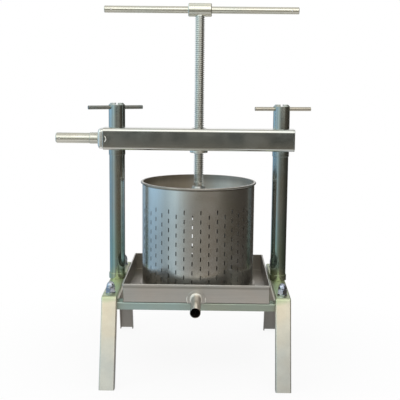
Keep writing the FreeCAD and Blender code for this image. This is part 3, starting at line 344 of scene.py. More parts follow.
class Nodes:
    """Short way to place nodes in a tree and join them."""

    def __init__(self, tree: bpy.types.NodeTree) -> None:
        """Work in one tree."""
        self.tree = tree

    def put(self, kind: str, wires: dict | None = None, **settings: object) -> bpy.types.Node:
        """Place a node.

        Args:
            kind: the node's type, such as ShaderNodeMix.
            wires: inputs by name or number: a socket to join, or a plain value.
            settings: the node's own properties.

        Returns:
            The new node.
        """
        node = self.tree.nodes.new(kind)
        for name, setting in settings.items():
            setattr(node, name, setting)
        for key, source in (wires or {}).items():
            if isinstance(source, bpy.types.NodeSocket):
                self.tree.links.new(source, node.inputs[key])
            else:
                node.inputs[key].default_value = source
        return node

    def group(self, tree: bpy.types.NodeTree, wires: dict) -> dict[str, bpy.types.NodeSocket]:
        """Place a node group, and give back its results by name."""
        return dict(self.put("ShaderNodeGroup", wires, node_tree=tree).outputs.items())

    def join(self, source: bpy.types.NodeSocket, target: bpy.types.NodeSocket) -> None:
        """Join a result to an input."""
        self.tree.links.new(source, target)

    def maths(self, operation: str, first: object, second: object) -> bpy.types.NodeSocket:
        """Result of one sum on two numbers, each a socket or a value."""
        return self.put("ShaderNodeMath", {0: first, 1: second}, operation=operation).outputs[0]

    def vector(self, operation: str, wires: dict, result: str = "Vector") -> bpy.types.NodeSocket:
        """Result of one sum on vectors, itself a vector or a plain value."""
        return self.put("ShaderNodeVectorMath", wires, operation=operation).outputs[result]

    def scaled(self, colour: object, level: object) -> bpy.types.NodeSocket:
        """A colour made lighter or darker by a level."""
        return self.vector("SCALE", {0: colour, "Scale": level})

    def mixed(
        self, share: object, first: object, second: object, blend: str = "MIX"
    ) -> bpy.types.NodeSocket:
        """Colour mixed from two colours by a share from 0 to 1."""
        wires = {0: share, 6: first, 7: second}
        return self.put("ShaderNodeMix", wires, data_type="RGBA", blend_type=blend).outputs[2]

    def ranged(
        self, number: object, low: object, high: object, to_low: object = 0.0, to_high: object = 1.0
    ) -> bpy.types.NodeSocket:
        """A number carried from one range to another and held inside it."""
        wires = {0: number, 1: low, 2: high, 3: to_low, 4: to_high}
        return self.put("ShaderNodeMapRange", wires).outputs[0]

    def ramp(self, share: object, stops: tuple[tuple[float, Colour], ...]) -> bpy.types.NodeSocket:
        """Colour read from a ramp.

        Args:
            share: where it is read, from 0 to 1.
            stops: places and colours, in order.

        Returns:
            The colour.
        """
        node = self.put("ShaderNodeValToRGB", {0: share})
        band = node.color_ramp.elements
        while len(band) < len(stops):
            band.new(1.0)
        for element, (at, colour) in zip(band, stops):
            element.position = at
            element.color = (*colour, 1)
        return node.outputs[0]

    def noise(self, place: object, scale: object, detail: float = 3.0) -> bpy.types.NodeSocket:
        """Value of a soft noise at a place."""
        wires = {"Vector": place, "Scale": scale, "Detail": detail}
        return self.put("ShaderNodeTexNoise", wires).outputs[0]


def new_group(
    name: str, inputs: dict[str, tuple[str, object]], outputs: dict[str, str]
) -> tuple[Nodes, dict, dict]:
    """Start a shader node group with named sockets.

    Args:
        name: the group's name.
        inputs: socket type and value by name.
        outputs: socket type by name.

    Returns:
        The tree, the group's input sockets by name, and its result sockets by name.
    """
    tree = bpy.data.node_groups.new(name, "ShaderNodeTree")
    for label, (kind, start) in inputs.items():
        socket = tree.interface.new_socket(label, in_out="INPUT", socket_type=kind)
        socket.default_value = start
    for label, kind in outputs.items():
        tree.interface.new_socket(label, in_out="OUTPUT", socket_type=kind)
    source = tree.nodes.new("NodeGroupInput")
    result = tree.nodes.new("NodeGroupOutput")
    return Nodes(tree), dict(source.outputs.items()), dict(result.inputs.items())


FLOAT, VECTOR, COLOUR = "NodeSocketFloat", "NodeSocketVector", "NodeSocketColor"
ORIGIN = (0, 0, 0)
GREY = (0.6, 0.6, 0.6, 1)


class Effects:
    """Shader node groups that the finishes share."""

    def __init__(self) -> None:
        """Build each group once."""
        self.grain = self.build_grain()
        self.plating = self.build_plating()
        self.handling = self.build_handling()
        self.level = self.build_painted_tone()
        self.roots = self.build_thread_root_shade()

    @staticmethod
    def build_grain() -> bpy.types.NodeTree:
        """Brushing lines: noise stretched along the brushed direction, coarse and fine together.

        Returns:
            The group.
        """
        coarse_scale, coarse_share = 0.22, 0.45
        nodes, given, result = new_group(
            "brushed_grain",
            {"Place": (VECTOR, ORIGIN), "Stretch": (VECTOR, (1, 1, 1)), "Scale": (FLOAT, 1500.0)},
            {"Value": FLOAT},
        )
        drawn = nodes.vector("MULTIPLY", {0: given["Place"], 1: given["Stretch"]})
        coarse = nodes.noise(drawn, nodes.maths("MULTIPLY", given["Scale"], coarse_scale), 2.0)
        fine = nodes.noise(drawn, given["Scale"], 4.0)
        coarse_part = nodes.maths("MULTIPLY", coarse, coarse_share)
        fine_part = nodes.maths("MULTIPLY", fine, 1 - coarse_share)
        nodes.join(nodes.maths("ADD", coarse_part, fine_part), result["Value"])
        return nodes.tree

    @staticmethod
    def build_plating() -> bpy.types.NodeTree:
        """Faint rainbow of clear zinc plating: patches drift between a cool and a warm colour.

        Returns:
            The group.
        """
        drift_range, patch_range = (0.38, 0.62), (0.3, 0.7)
        patch_scale, least_share = 2.3, 0.2
        nodes, given, result = new_group(
            "plating_tint",
            {
                "Place": (VECTOR, ORIGIN),
                "Scale": (FLOAT, 20.0),
                "Base": (COLOUR, GREY),
                "Cool": (COLOUR, (0.5, 0.6, 0.65, 1)),
                "Warm": (COLOUR, (0.7, 0.65, 0.5, 1)),
                "Amount": (FLOAT, 0.5),
            },
            {"Colour": COLOUR},
        )
        drift = nodes.ranged(nodes.noise(given["Place"], given["Scale"], 2.0), *drift_range)
        tint = nodes.mixed(drift, given["Cool"], given["Warm"])
        patch = nodes.noise(given["Place"], nodes.maths("MULTIPLY", given["Scale"], patch_scale))
        share = nodes.ranged(patch, *patch_range, least_share, 1.0)
        share = nodes.maths("MULTIPLY", share, given["Amount"])
        nodes.join(nodes.mixed(share, given["Base"], tint), result["Colour"])
        return nodes.tree

    @staticmethod
    def build_handling() -> bpy.types.NodeTree:
        """Handling marks: cloudy patches where the metal is duller, and a darker film there.

        Returns:
            The group.
        """
        cloud_range = (0.35, 0.7)
        cloud_dulls, cloud_darkens, streak_darkens = 0.7, 0.35, 1.6
        nodes, given, result = new_group(
            "handling_marks",
            {
                "Place": (VECTOR, ORIGIN),
                "Scale": (FLOAT, 30.0),
                "Colour": (COLOUR, GREY),
                "Grain": (FLOAT, 0.5),
                "Contrast": (FLOAT, 0.2),
                "Polish": (FLOAT, 0.3),
                "Spread": (FLOAT, 0.1),
            },
            {"Colour": COLOUR, "Roughness": FLOAT},
        )
        cloud = nodes.ranged(nodes.noise(given["Place"], given["Scale"], 4.0), *cloud_range)
        streak = nodes.maths("SUBTRACT", given["Grain"], 0.5)
        duller = nodes.maths("ADD", nodes.maths("MULTIPLY", cloud, cloud_dulls), streak)
        rough = nodes.maths("ADD", given["Polish"], nodes.maths("MULTIPLY", duller, given["Spread"]))
        film = nodes.maths("MULTIPLY", cloud, cloud_darkens)
        darker = nodes.maths("ADD", film, nodes.maths("MULTIPLY", streak, streak_darkens))
        level = nodes.maths("SUBTRACT", 1.0, nodes.maths("MULTIPLY", darker, given["Contrast"]))
        nodes.join(nodes.scaled(given["Colour"], level), result["Colour"])
        nodes.join(rough, result["Roughness"])
        return nodes.tree

    @staticmethod
    def build_painted_tone() -> bpy.types.NodeTree:
        """Painted light or shade: metal that turns to another tone between two places along a direction,
        cloudy between.

        Returns:
            The group.
        """
        border_scale, border_range = 24.0, (0.3, 0.7)
        nodes, given, result = new_group(
            "painted_light_and_shade_tone",
            {
                "Place": (VECTOR, ORIGIN),
                "Colour": (COLOUR, GREY),
                "Tone": (COLOUR, (1, 1, 1, 1)),
                "Direction": (VECTOR, (0, 0, 1)),
                "Plain At": (FLOAT, 0.1),
                "Toned At": (FLOAT, 0.2),
                "Border": (FLOAT, 0.006),
            },
            {"Colour": COLOUR},
        )
        along = nodes.vector("DOT_PRODUCT", {0: given["Place"], 1: given["Direction"]}, "Value")
        cloud = nodes.ranged(nodes.noise(given["Place"], border_scale), *border_range, -1.0, 1.0)
        place = nodes.maths("ADD", along, nodes.maths("MULTIPLY", cloud, given["Border"]))
        share = nodes.ranged(place, given["Plain At"], given["Toned At"])
        toned = nodes.mixed(1.0, given["Colour"], given["Tone"], "MULTIPLY")
        nodes.join(nodes.mixed(share, given["Colour"], toned), result["Colour"])
        return nodes.tree

    @staticmethod
    def build_thread_root_shade() -> bpy.types.NodeTree:
        """Painted shade in a thread's roots: the colour darkens as the distance from the Z axis falls.

        Returns:
            The group.
        """
        nodes, given, result = new_group(
            "painted_thread_root_shade",
            {
                "Place": (VECTOR, ORIGIN),
                "Colour": (COLOUR, GREY),
                "Root Radius": (FLOAT, 0.008),
                "Crest Radius": (FLOAT, 0.01),
                "Root Level": (FLOAT, 1.0),
            },
            {"Colour": COLOUR},
        )
        flat = nodes.vector("MULTIPLY", {0: given["Place"], 1: (1, 1, 0)})
        radius = nodes.vector("LENGTH", {0: flat}, "Value")
        level = nodes.ranged(
            radius, given["Root Radius"], given["Crest Radius"], given["Root Level"], 1.0
        )
        nodes.join(nodes.scaled(given["Colour"], level), result["Colour"])
        return nodes.tree


@dataclass(frozen=True)
class PaintedLightTone:
    """Painted light or shade on a metal: a colour that multiplies its own, beyond a border.

    Places are distances in metres along a direction. The tone has no share at plain_at and
    its full share at toned_at, and clouds shift both by up to the border.
    """

    tone: Colour
    plain_at: float
    toned_at: float
    direction: Point = (0.0, 0.0, 1.0)
    border: float = 0.006


@dataclass(frozen=True)
class MetalFinish:
    """One metal surface: its colours, how it was brushed, how it is plated, and its painted light and
    shade.
    """

    name: str
    slot: str
    base: Colour
    cool: Colour
    warm: Colour
    tint: float = 0.4
    tint_scale: float = 14.0
    grain: Grain = Grain.EVEN
    grain_scale: float = 1500.0
    polish: float = 0.3
    spread: float = 0.12
    contrast: float = 0.15
    relief: float = 0.08
    relief_depth: float = 0.00004
    painted_tones: tuple[PaintedLightTone, ...] = ()
    root_shade_level: float = 1.0

    def colour(
        self, nodes: Nodes, effects: Effects, place: bpy.types.NodeSocket
    ) -> bpy.types.NodeSocket:
        """Join the groups that make the metal's colour with its painted light and shade, before its
        marks.

        Args:
            nodes: the material's tree.
            effects: the shared node groups.
            place: object coordinates.

        Returns:
            The colour.
        """
        wires = {
            "Place": place, "Scale": self.tint_scale, "Amount": self.tint,
            "Base": (*self.base, 1), "Cool": (*self.cool, 1), "Warm": (*self.warm, 1),
        }
        colour = nodes.group(effects.plating, wires)["Colour"]
        # Tones of painted light and shade, one after another.
        for level in self.painted_tones:
            wires = {
                "Place": place, "Colour": colour, "Tone": (*level.tone, 1),
                "Direction": level.direction, "Plain At": level.plain_at,
                "Toned At": level.toned_at, "Border": level.border,
            }
            colour = nodes.group(effects.level, wires)["Colour"]
        # Painted shade in the thread's roots.
        if self.root_shade_level < 1:
            wires = {"Place": place, "Colour": colour, "Root Level": self.root_shade_level}
            colour = nodes.group(effects.roots, wires)["Colour"]
        return colour

    def material(self, effects: Effects) -> bpy.types.Material:
        """Build the material once and return it.

        Args:
            effects: the shared node groups.

        Returns:
            The material.
        """
        known = bpy.data.materials.get(self.name)
        if known:
            return known
        made = bpy.data.materials.new(self.name)
        made.use_nodes = True
        nodes = Nodes(made.node_tree)
        place = nodes.put("ShaderNodeTexCoord").outputs["Object"]
        wires = {"Place": place, "Stretch": self.grain.value, "Scale": self.grain_scale}
        grain = nodes.group(effects.grain, wires)["Value"]
        wires = {
            "Place": place, "Colour": self.colour(nodes, effects, place), "Grain": grain,
            "Contrast": self.contrast, "Polish": self.polish, "Spread": self.spread,
        }
        marks = nodes.group(effects.handling, wires)
        wires = {"Strength": self.relief, "Distance": self.relief_depth, "Height": grain}
        bump = nodes.put("ShaderNodeBump", wires)
        shader = made.node_tree.nodes["Principled BSDF"].inputs
        shader["Metallic"].default_value = 1.0
        nodes.join(marks["Colour"], shader["Base Color"])
        nodes.join(marks["Roughness"], shader["Roughness"])
        nodes.join(bump.outputs["Normal"], shader["Normal"])
        return made


# Side frame zinc with painted light and shade: lighter and warmer at the top, darker towards the lower
# right, a darker, greener painted reflection on the rail tops, and painted shade towards the back legs.
CHANNEL = MetalFinish(
    "zinc_channel", "plated_channel", (0.66, 0.65, 0.60), (0.60, 0.64, 0.63), (0.72, 0.66, 0.56),
    tint=0.6, tint_scale=12, grain_scale=500, polish=0.36, contrast=0.14,
    painted_tones=(
        PaintedLightTone((1.2, 1.12, 1.0), 0.05, 0.15),
        PaintedLightTone((0.76, 0.78, 0.8), 0.03, 0.17, (1.0, 0.0, -1.0)),
        PaintedLightTone((0.72, 0.88, 0.74), 0.158, 0.169),
        PaintedLightTone((0.78, 0.74, 0.72), 0.0, 0.1, (0.0, 1.0, 0.0)),
    ),
)
# Cross rail zinc: a greener copy of the side frame zinc as painted reflection, with painted shade,
# darker and warmer, towards the right.
CROSS_CHANNEL = MetalFinish(
    "zinc_cross_channel", "plated_channel",
    (0.45, 0.56, 0.53), (0.40, 0.56, 0.57), (0.52, 0.57, 0.48),
    tint=0.6, tint_scale=9, grain=Grain.ALONG_X, grain_scale=900, polish=0.36, contrast=0.12,
    painted_tones=(PaintedLightTone((0.94, 0.85, 0.76), -0.04, 0.06, (1.0, 0.0, 0.0)),),
)
# Post zinc with painted reflection: a tealer cast lower down, and a lighter, warmer band at the foot.
BAR = MetalFinish(
    "zinc_bar", "plated_bar", (0.46, 0.50, 0.49), (0.38, 0.50, 0.53), (0.54, 0.52, 0.42),
    tint=0.5, tint_scale=11, grain=Grain.ALONG_Z, polish=0.13, spread=0.1, contrast=0.2,
    painted_tones=(
        PaintedLightTone((0.82, 1.02, 0.96), 0.32, 0.24),
        PaintedLightTone((1.3, 1.08, 0.85), 0.2, 0.183),
    ),
)
CLAMP_NUT = MetalFinish(
    "zinc_clamp_nut", "plated_bar", (0.56, 0.62, 0.60), (0.46, 0.63, 0.64), (0.62, 0.61, 0.52),
    tint=0.5, tint_scale=30, grain=Grain.ALONG_Z, polish=0.1, spread=0.08, contrast=0.2,
)
TUBE = MetalFinish(
    "zinc_tube", "plated_tube", (0.74, 0.74, 0.71), (0.68, 0.75, 0.73), (0.80, 0.76, 0.67),
    tint=0.5, tint_scale=10, grain=Grain.ALONG_X, grain_scale=1300,
    polish=0.08, spread=0.08, contrast=0.18,
)
HANDLE = MetalFinish(
    "zinc_handle", "plated_handle", (0.74, 0.73, 0.65), (0.68, 0.72, 0.66), (0.78, 0.72, 0.60),
    tint=0.5, grain=Grain.ALONG_X, polish=0.2,
)
# Handle zinc with a painted highlight that lifts the hub's top nearly to white.
HUB_PAINTED_HIGHLIGHT = replace(
    HANDLE, name="zinc_hub_painted_highlight", painted_tones=(PaintedLightTone((1.24, 1.24, 1.24), 0.7225, 0.727, border=0.001),),
)
# Lighter copy of the handle zinc for the beam's end block: painted highlight.
BLOCK_PAINTED_HIGHLIGHT = replace(
    HANDLE, name="zinc_block_painted_highlight",
    base=(0.93, 0.92, 0.88), cool=(0.88, 0.92, 0.9), warm=(0.95, 0.9, 0.82),
)
# Two copies of one zinc for the tommy bars: the left one darkened as painted shade, the right one
# lightened as painted light.
SHADED_TOMMY_BAR = MetalFinish(
    "painted_shade_tommy_bar", "plated_handle", (0.30, 0.31, 0.29), (0.26, 0.31, 0.32), (0.36, 0.33, 0.28),
    tint=0.5, tint_scale=40, grain=Grain.ALONG_X, polish=0.25,
)
LIT_TOMMY_BAR = replace(
    SHADED_TOMMY_BAR, name="painted_light_tommy_bar",
    base=(0.56, 0.52, 0.44), cool=(0.50, 0.50, 0.45), warm=(0.62, 0.55, 0.44),
)
# Turned steel of the screw, with painted shade in its thread's roots.
SCREW = MetalFinish(
    "turned_screw", "screw_steel", (0.92, 0.92, 0.87), (0.86, 0.92, 0.92), (0.94, 0.90, 0.82),
    tint_scale=20, grain_scale=1800, polish=0.24, spread=0.1, contrast=0.2, root_shade_level=0.7,
)
# Darker copy of the screw steel for the boss inside the basket: painted shade.
BOSS = replace(
    SCREW, name="turned_boss_painted_shade", polish=0.3,
    base=(0.42, 0.42, 0.4), cool=(0.4, 0.43, 0.43), warm=(0.45, 0.42, 0.38),
)
PLATE = MetalFinish(
    "press_plate", "press_plate_steel", (0.74, 0.73, 0.7), (0.72, 0.74, 0.75), (0.78, 0.74, 0.68),
    tint=0.3, tint_scale=16, grain=Grain.ALONG_X, grain_scale=1200, polish=0.32, contrast=0.2,
)
# Basket sheet with painted light and shade: a bluish painted highlight towards the upper left, a painted
# shadow line just under the bead, and painted light low down.
BASKET = MetalFinish(
    "basket_sheet", "basket_steel", (0.66, 0.65, 0.62), (0.63, 0.66, 0.67), (0.68, 0.63, 0.57),
    tint_scale=8, grain=Grain.ALONG_Z, grain_scale=1400,
    polish=0.21, spread=0.08, contrast=0.13, relief=0.07,
    painted_tones=(
        PaintedLightTone((1.36, 1.4, 1.42), 0.35, 0.48, (-1.0, 0.0, 1.0)),
        PaintedLightTone((0.4, 0.37, 0.33), 0.3698, 0.3703, border=0.0001),
        PaintedLightTone((1.4, 1.41, 1.42), 0.214, 0.198),
    ),
)
# Tray sheet with a band of painted shade along the lower bend of the hem; the second tone lifts the hem
# above it back up.
TRAY = MetalFinish(
    "tray_sheet", "tray_steel", (0.58, 0.55, 0.51), (0.54, 0.54, 0.52), (0.62, 0.55, 0.49),
    tint=0.45, grain=Grain.ALONG_X, grain_scale=900, polish=0.36, contrast=0.2,
    painted_tones=(
        PaintedLightTone((0.72, 0.72, 0.7), 0.183, 0.1845, border=0.0004),
        PaintedLightTone((1.36, 1.38, 1.42), 0.1872, 0.188, border=0.0002),
    ),
)
# Darker copy of the basket steel for the rolled rim: painted shade.
SHADED_RIM = MetalFinish(
    "basket_bead_painted_shade", "basket_steel", (0.38, 0.355, 0.32), (0.34, 0.35, 0.34), (0.40, 0.35, 0.30),
    tint_scale=8, grain_scale=1400, polish=0.16, spread=0.1,
)
# Inside of the basket, a lighter copy of its sheet, with painted light and shade: bluish and lighter
# towards back right and front left, darker and warmer towards back left and front right, darker except
# on the right, and a band of painted shade under the rim.
BASKET_INSIDE_LIGHT_AND_SHADE = MetalFinish(
    "basket_inside_painted_light_and_shade", "basket_steel", (0.80, 0.80, 0.78), (0.78, 0.81, 0.82), (0.82, 0.78, 0.73),
    tint_scale=8, grain=Grain.ALONG_Z, grain_scale=1400, polish=0.4, spread=0.1, contrast=0.12,
    painted_tones=(
        PaintedLightTone((1.16, 1.2, 1.24), 0.08, 0.14, (1.0, 1.0, 0.0)),
        PaintedLightTone((1.16, 1.2, 1.24), 0.08, 0.14, (-1.0, -1.0, 0.0)),
        PaintedLightTone((0.82, 0.69, 0.58), 0.07, 0.14, (-1.0, 1.0, 0.0)),
        PaintedLightTone((0.82, 0.69, 0.58), 0.07, 0.14, (1.0, -1.0, 0.0)),
        PaintedLightTone((0.7, 0.71, 0.7), 0.066, 0.042, (1.0, 0.0, 0.0)),
        PaintedLightTone((0.62, 0.62, 0.62), 0.358, 0.369, border=0.002),
    ),
)
# Darker copy of the tray sheet for its inner walls, drain plate and bars: painted shade.
TRAY_INSIDE_SHADE = replace(
    TRAY, name="tray_inside_painted_shade", painted_tones=(),
    base=(0.38, 0.35, 0.31), cool=(0.35, 0.34, 0.32), warm=(0.42, 0.37, 0.31),
)
# Lighter copy of the tray sheet for the outlet pipe, as a painted highlight along its middle, with
# painted shade on its right and a bluish painted reflection on its left.
OUTLET = MetalFinish(
    "outlet_tube_painted_light_and_shade", "tray_steel", (0.95, 0.86, 0.76), (0.88, 0.86, 0.82), (0.96, 0.85, 0.72),
    tint=0.45, tint_scale=40, grain=Grain.ALONG_Y, polish=0.13, spread=0.08, contrast=0.2,
    painted_tones=(
        PaintedLightTone((0.25, 0.22, 0.19), 0.002, 0.0065, (1.0, 0.0, 0.0), 0.0004),
        PaintedLightTone((0.46, 0.54, 0.6), -0.0005, -0.004, (1.0, 0.0, 0.0), 0.0004),
    ),
)
# Near-black copy of the tray sheet for the pipe's bore: painted shade.
OUTLET_BORE_SHADE = MetalFinish(
    "outlet_bore_painted_shade", "tray_steel", (0.16, 0.14, 0.12), (0.15, 0.14, 0.13), (0.18, 0.14, 0.11),
    tint=0.45, tint_scale=40, grain=Grain.ALONG_Y, grain_scale=900,
    polish=0.4, spread=0.1, contrast=0.1,
)
FASTENER = MetalFinish(
    "zinc_fastener", "fastener_steel", (0.50, 0.53, 0.60), (0.34, 0.42, 0.64), (0.60, 0.57, 0.5),
    tint=0.5, tint_scale=60, polish=0.07, spread=0.1,
)
# Weld beads, much paler than the sheet they join: painted highlight.
WELD = MetalFinish(
    "weld_bead_painted_highlight", "tray_steel", (0.94, 0.91, 0.85), (0.86, 0.85, 0.84), (0.95, 0.90, 0.78),
    tint=0.5, tint_scale=90, grain_scale=2500, polish=0.5, spread=0.15,
)


@dataclass
class Workshop:
    """What every sub-assembly needs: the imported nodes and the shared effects."""

    nodes: dict[str, bpy.types.Object]
    effects: Effects
    made: list[str] = field(default_factory=list)

    def dress(
        self, piece: bpy.types.Object, finish: MetalFinish, body: str, *stands_for: str
    ) -> bpy.types.Object:
        """Give a new piece its finish and its body, and let it stand for CAD nodes.

        Args:
            piece: the new object.
            finish: its finish.
            body: the body it moves with.
            stands_for: CAD nodes that it replaces.

        Returns:
            The piece.
        """
        piece.data.materials.clear()
        piece.data.materials.append(finish.material(self.effects))
        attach(piece, body)
        if stands_for:
            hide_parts(*stands_for)
        self.made.append(piece.name)
        log.info("%s: %d faces, %s", piece.name, len(piece.data.polygons), finish.name)
        return piece

    def line(self, piece: bpy.types.Object, finish: MetalFinish, inner: np.ndarray) -> None:
        """Give some faces of a dressed piece another finish.

        Args:
            piece: the dressed piece.
            finish: the second finish.
            inner: for each face, whether it gets the second finish.
        """
        piece.data.materials.append(finish.material(self.effects))
        piece.data.polygons.foreach_set("material_index", inner.astype(np.int32))
        piece.data.update()

    def paint(self, finish: MetalFinish, *names: str) -> None:
        """Give CAD nodes that stay in view their finish.

        Args:
            finish: the finish.
            names: the nodes.
        """
        for name in names:
            node = self.nodes[name]
            node.data.materials.clear()
            node.data.materials.append(finish.material(self.effects))
            log.info("%s: packed solid, %s", name, finish.name)

    def refined(self, node: str, name: str, bevel: float, sharp: float = 30) -> bpy.types.Object:
        """Copy a CAD node, merge its triangles, smooth its curves and break its edges.

        Args:
            node: the CAD node.
            name: the new piece's name.
            bevel: width of the broken edges in millimetres.
            sharp: angle in degrees over which an edge stays sharp.

        Returns:
            The new piece.
        """
        mesh = self.nodes[node].data.copy()
        mesh.name = name
        work = bmesh.new()
        work.from_mesh(mesh)
        bmesh.ops.remove_doubles(work, verts=work.verts, dist=MERGE)
        bmesh.ops.dissolve_limit(work, angle_limit=math.radians(1), verts=work.verts, edges=work.edges)
        work.to_mesh(mesh)
        work.free()
        piece = finished(mesh, name, sharp)
        edge = piece.modifiers.new("broken_edges", "BEVEL")
        edge.width = bevel * MM
        edge.segments = 2
        edge.limit_method = "ANGLE"
        edge.angle_limit = math.radians(sharp)
        keep_flat(piece)
        return piece


@dataclass
class WeldRun:
    """Short run of weld along an arc on an upright face, tapering at both ends.

    Angles are in degrees from the right, anticlockwise seen from the front. The ripple is a
    share of the size, and its wave turns through ripple_turn radians over the run.
    """

    middle: Point
    radius: float
    start: float
    end: float
    half_width: float
    height: float
    steps: int
    ripple: float = 0.0
    ripple_turn: float = 30.0
    least_size: float = 0.001

    def grid(self) -> np.ndarray:
        """Bead of an elliptic section, whose size follows the root of a half wave, rippled.

        Returns:
            Grid of shape (steps, points round the bead, 3).
        """
        share = np.linspace(0, 1, self.steps)[:, None]
        angle = np.radians(self.start + (self.end - self.start) * share)
        taper = np.sqrt(np.sin(math.pi * share) + self.least_size ** 2)
        size = taper * (1 - self.ripple * (1 - np.cos(self.ripple_turn * share)))
        turn = full_turn(12)
        radius = self.radius + self.half_width * size * np.cos(turn)
        out = -self.height * size * np.sin(turn)
        run = np.stack([radius * np.cos(angle), out, radius * np.sin(angle)], -1)
        return shifted(run, *self.middle)


@dataclass
class SideFrames:
    """Folded channel: on each side a rail and two splayed legs in one bent line, and two cross rails."""

    spacing: float = 336
    height: float = 170
    shoulder: float = 152.98
    foot: float = 206.91
    width: float = 30
    depth: float = 15
    wall: float = 2
    edge: float = 0.4
    outer_bend: float = 3
    inner_bend: float = 1
    knee: float = 7
    cross_middle: float = 125.7
    cross_top: float = 155

    def section(self) -> np.ndarray:
        """Closed outline of the channel.

        Returns:
            Points (across the web, depth below the web's face), shape (n, 2).
        """
        half, inside = self.width / 2, self.width / 2 - self.wall
        corners = np.array([
            (-half, self.depth), (-half, 0), (half, 0), (half, self.depth),
            (inside, self.depth), (inside, self.wall), (-inside, self.wall), (-inside, self.depth),
        ])
        edge, outer, inner = self.edge, self.outer_bend, self.inner_bend
        return rounded(corners, np.array([edge, outer, outer, edge, edge, inner, inner, edge]))

    def bent(self, middle: float) -> np.ndarray:
        """Carry the channel's section up one leg, along the rail and down the other leg.

        A section point at depth d follows the web's line shifted inwards by d. Each corner of
        the shifted line lies on the mitre, and is rounded by the knee's radius less d. Both
        ends stay on the floor.

        Args:
            middle: X of the channel's middle.

        Returns:
            Grid of shape (stations, section points, 3).
        """
        line = np.array([
            (-self.foot, 0), (-self.shoulder, self.height),
            (self.shoulder, self.height), (self.foot, 0),
        ])
        along = np.diff(line, axis=0)
        along /= np.linalg.norm(along, axis=1, keepdims=True)
        inward = np.stack([along[:, 1], -along[:, 0]], 1)
        mitre = (inward[:-1] + inward[1:]) / (1 + (inward[:-1] * inward[1:]).sum(1, keepdims=True))
        ends = inward[[0, -1]] - along[[0, -1]] * (inward[[0, -1], 1:] / along[[0, -1], 1:])
        shift = np.stack([ends[0], mitre[0], mitre[1], ends[1]])
        across, depth = self.section().T
        lines = line + depth[:, None, None] * shift
        radii = np.maximum(self.knee - depth, 0)[:, None] * np.array([0, 1, 1, 0])
        path = rounded(lines, radii, steps=6, closed=False)
        x = np.broadcast_to((middle + across)[:, None], path.shape[:2])
        return np.stack([x, path[..., 0], path[..., 1]], -1).transpose(1, 0, 2)

    def cross(self, y: float) -> np.ndarray:
        """Cross rail: the section drawn straight along X, web on top.

        Args:
            y: Y of the rail's middle.

        Returns:
            Grid of shape (stations, section points, 3).
        """
        across, depth = self.section().T
        reach = (self.spacing + self.width) / 2
        stations = np.linspace(-reach, reach, 4)
        ring = np.stack([np.zeros_like(across), y + across, self.cross_top - depth], -1)
        return ring + stations[:, None, None] * np.array([1.0, 0, 0])

    def build(self, shop: Workshop) -> None:
        """Make both side frames and both cross rails.

        Args:
            shop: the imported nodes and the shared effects.
        """
        for side, middle in (("left", -self.spacing / 2), ("right", self.spacing / 2)):
            piece = Surface().solid(self.bent(middle)).made(f"{side}_side_frame", 30)
            nodes = (f"{side}_side_rail", f"front_{side}_leg", f"back_{side}_leg")
            shop.dress(piece, CHANNEL, "root", *nodes)
        for end, y in (("front", -self.cross_middle), ("back", self.cross_middle)):
            piece = Surface().solid(self.cross(y)).made(f"{end}_rail", 30)
            shop.dress(piece, CROSS_CHANNEL, "root", f"{end}_cross_rail")


@dataclass
class RailFasteners:
    """Cap nuts, washers and bolts that join the cross rails to the side rails."""

    x: float = 168
    y: float = 125.7
    seat: float = 170
    washer: float = 2
    washer_radius: float = 10
    washer_bore: float = 5.2
    washer_edge: float = 0.35
    hexagon: float = 10
    flats: float = 17
    bore: float = 5
    nut_height: float = 21
    dome_radius: float = 8.2
    foot_chamfer: float = 1.2
    top_chamfer: float = 1.6

    def hexagon_grid(self, heights: np.ndarray, trims: np.ndarray, steps: int = 72) -> np.ndarray:
        """Sides of a chamfered hexagon: at each height, the smaller of the hexagon and a circle.

        Args:
            heights: z of each row.
            trims: radius of the chamfer's circle at each row.
            steps: points round it.

        Returns:
            Grid of shape (rows, steps, 3).
        """
        sixth = math.pi / 3
        angle = full_turn(steps)
        flat = self.flats / 2 / np.cos((angle + sixth / 2) % sixth - sixth / 2)
        radius = np.minimum(flat, trims[:, None])
        z = np.broadcast_to(heights[:, None], radius.shape)
        return np.stack([radius * np.cos(angle), radius * np.sin(angle), z], -1)

    def cap_nut(self) -> np.ndarray:
        """Chamfered hexagon with a round dome on it, in one grid from the bore to the pole.

        Returns:
            Grid of shape (rows, steps, 3).
        """
        base = self.seat + self.washer
        top = base + self.hexagon
        flat, corner = self.flats / 2, self.flats / 2 / math.cos(math.pi / 6)
        foot, head = self.foot_chamfer, self.top_chamfer
        heights, trims = np.array([
            (base, self.bore), (base, flat - 0.1), (base + foot / 2, corner - 0.6),
            (base + foot, corner + 0.2), (top - head, corner + 0.2), (top - head / 2, corner - 0.4),
            (top, flat - 0.2), (top, self.dome_radius),
        ]).T
        sides = self.hexagon_grid(heights, trims)
        turn = np.linspace(0, math.pi / 2, 12)
        rise = self.nut_height - self.hexagon
        dome = np.stack([self.dome_radius * np.cos(turn), top + rise * np.sin(turn)], -1)
        return np.concatenate([sides, revolved(dome, sides.shape[1])])

    def build(self, shop: Workshop) -> None:
        """Make the four cap nuts and the four washers, and finish the bolts and sleeves.

        Args:
            shop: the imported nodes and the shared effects.
        """
        nut = self.cap_nut()
        section = ring_profile(
            self.washer_bore, self.washer_radius, self.seat, self.seat + self.washer,
            self.washer_edge, 2,
        )
        washer = revolved(section, 48)
        nuts, washers = Surface(), Surface()
        for x in (-self.x, self.x):
            for y in (-self.y, self.y):
                nuts.grid(shifted(nut, x, y), wrap_columns=True)
                washers.closed(shifted(washer, x, y))
        shop.dress(nuts.made("cap_nuts", 25), FASTENER, "root", "rail_cap_nuts")
        shop.dress(washers.made("nut_washers"), FASTENER, "root", "rail_washers")
        shop.paint(FASTENER, "rail_bolts", "rail_sleeves", "post_nuts")


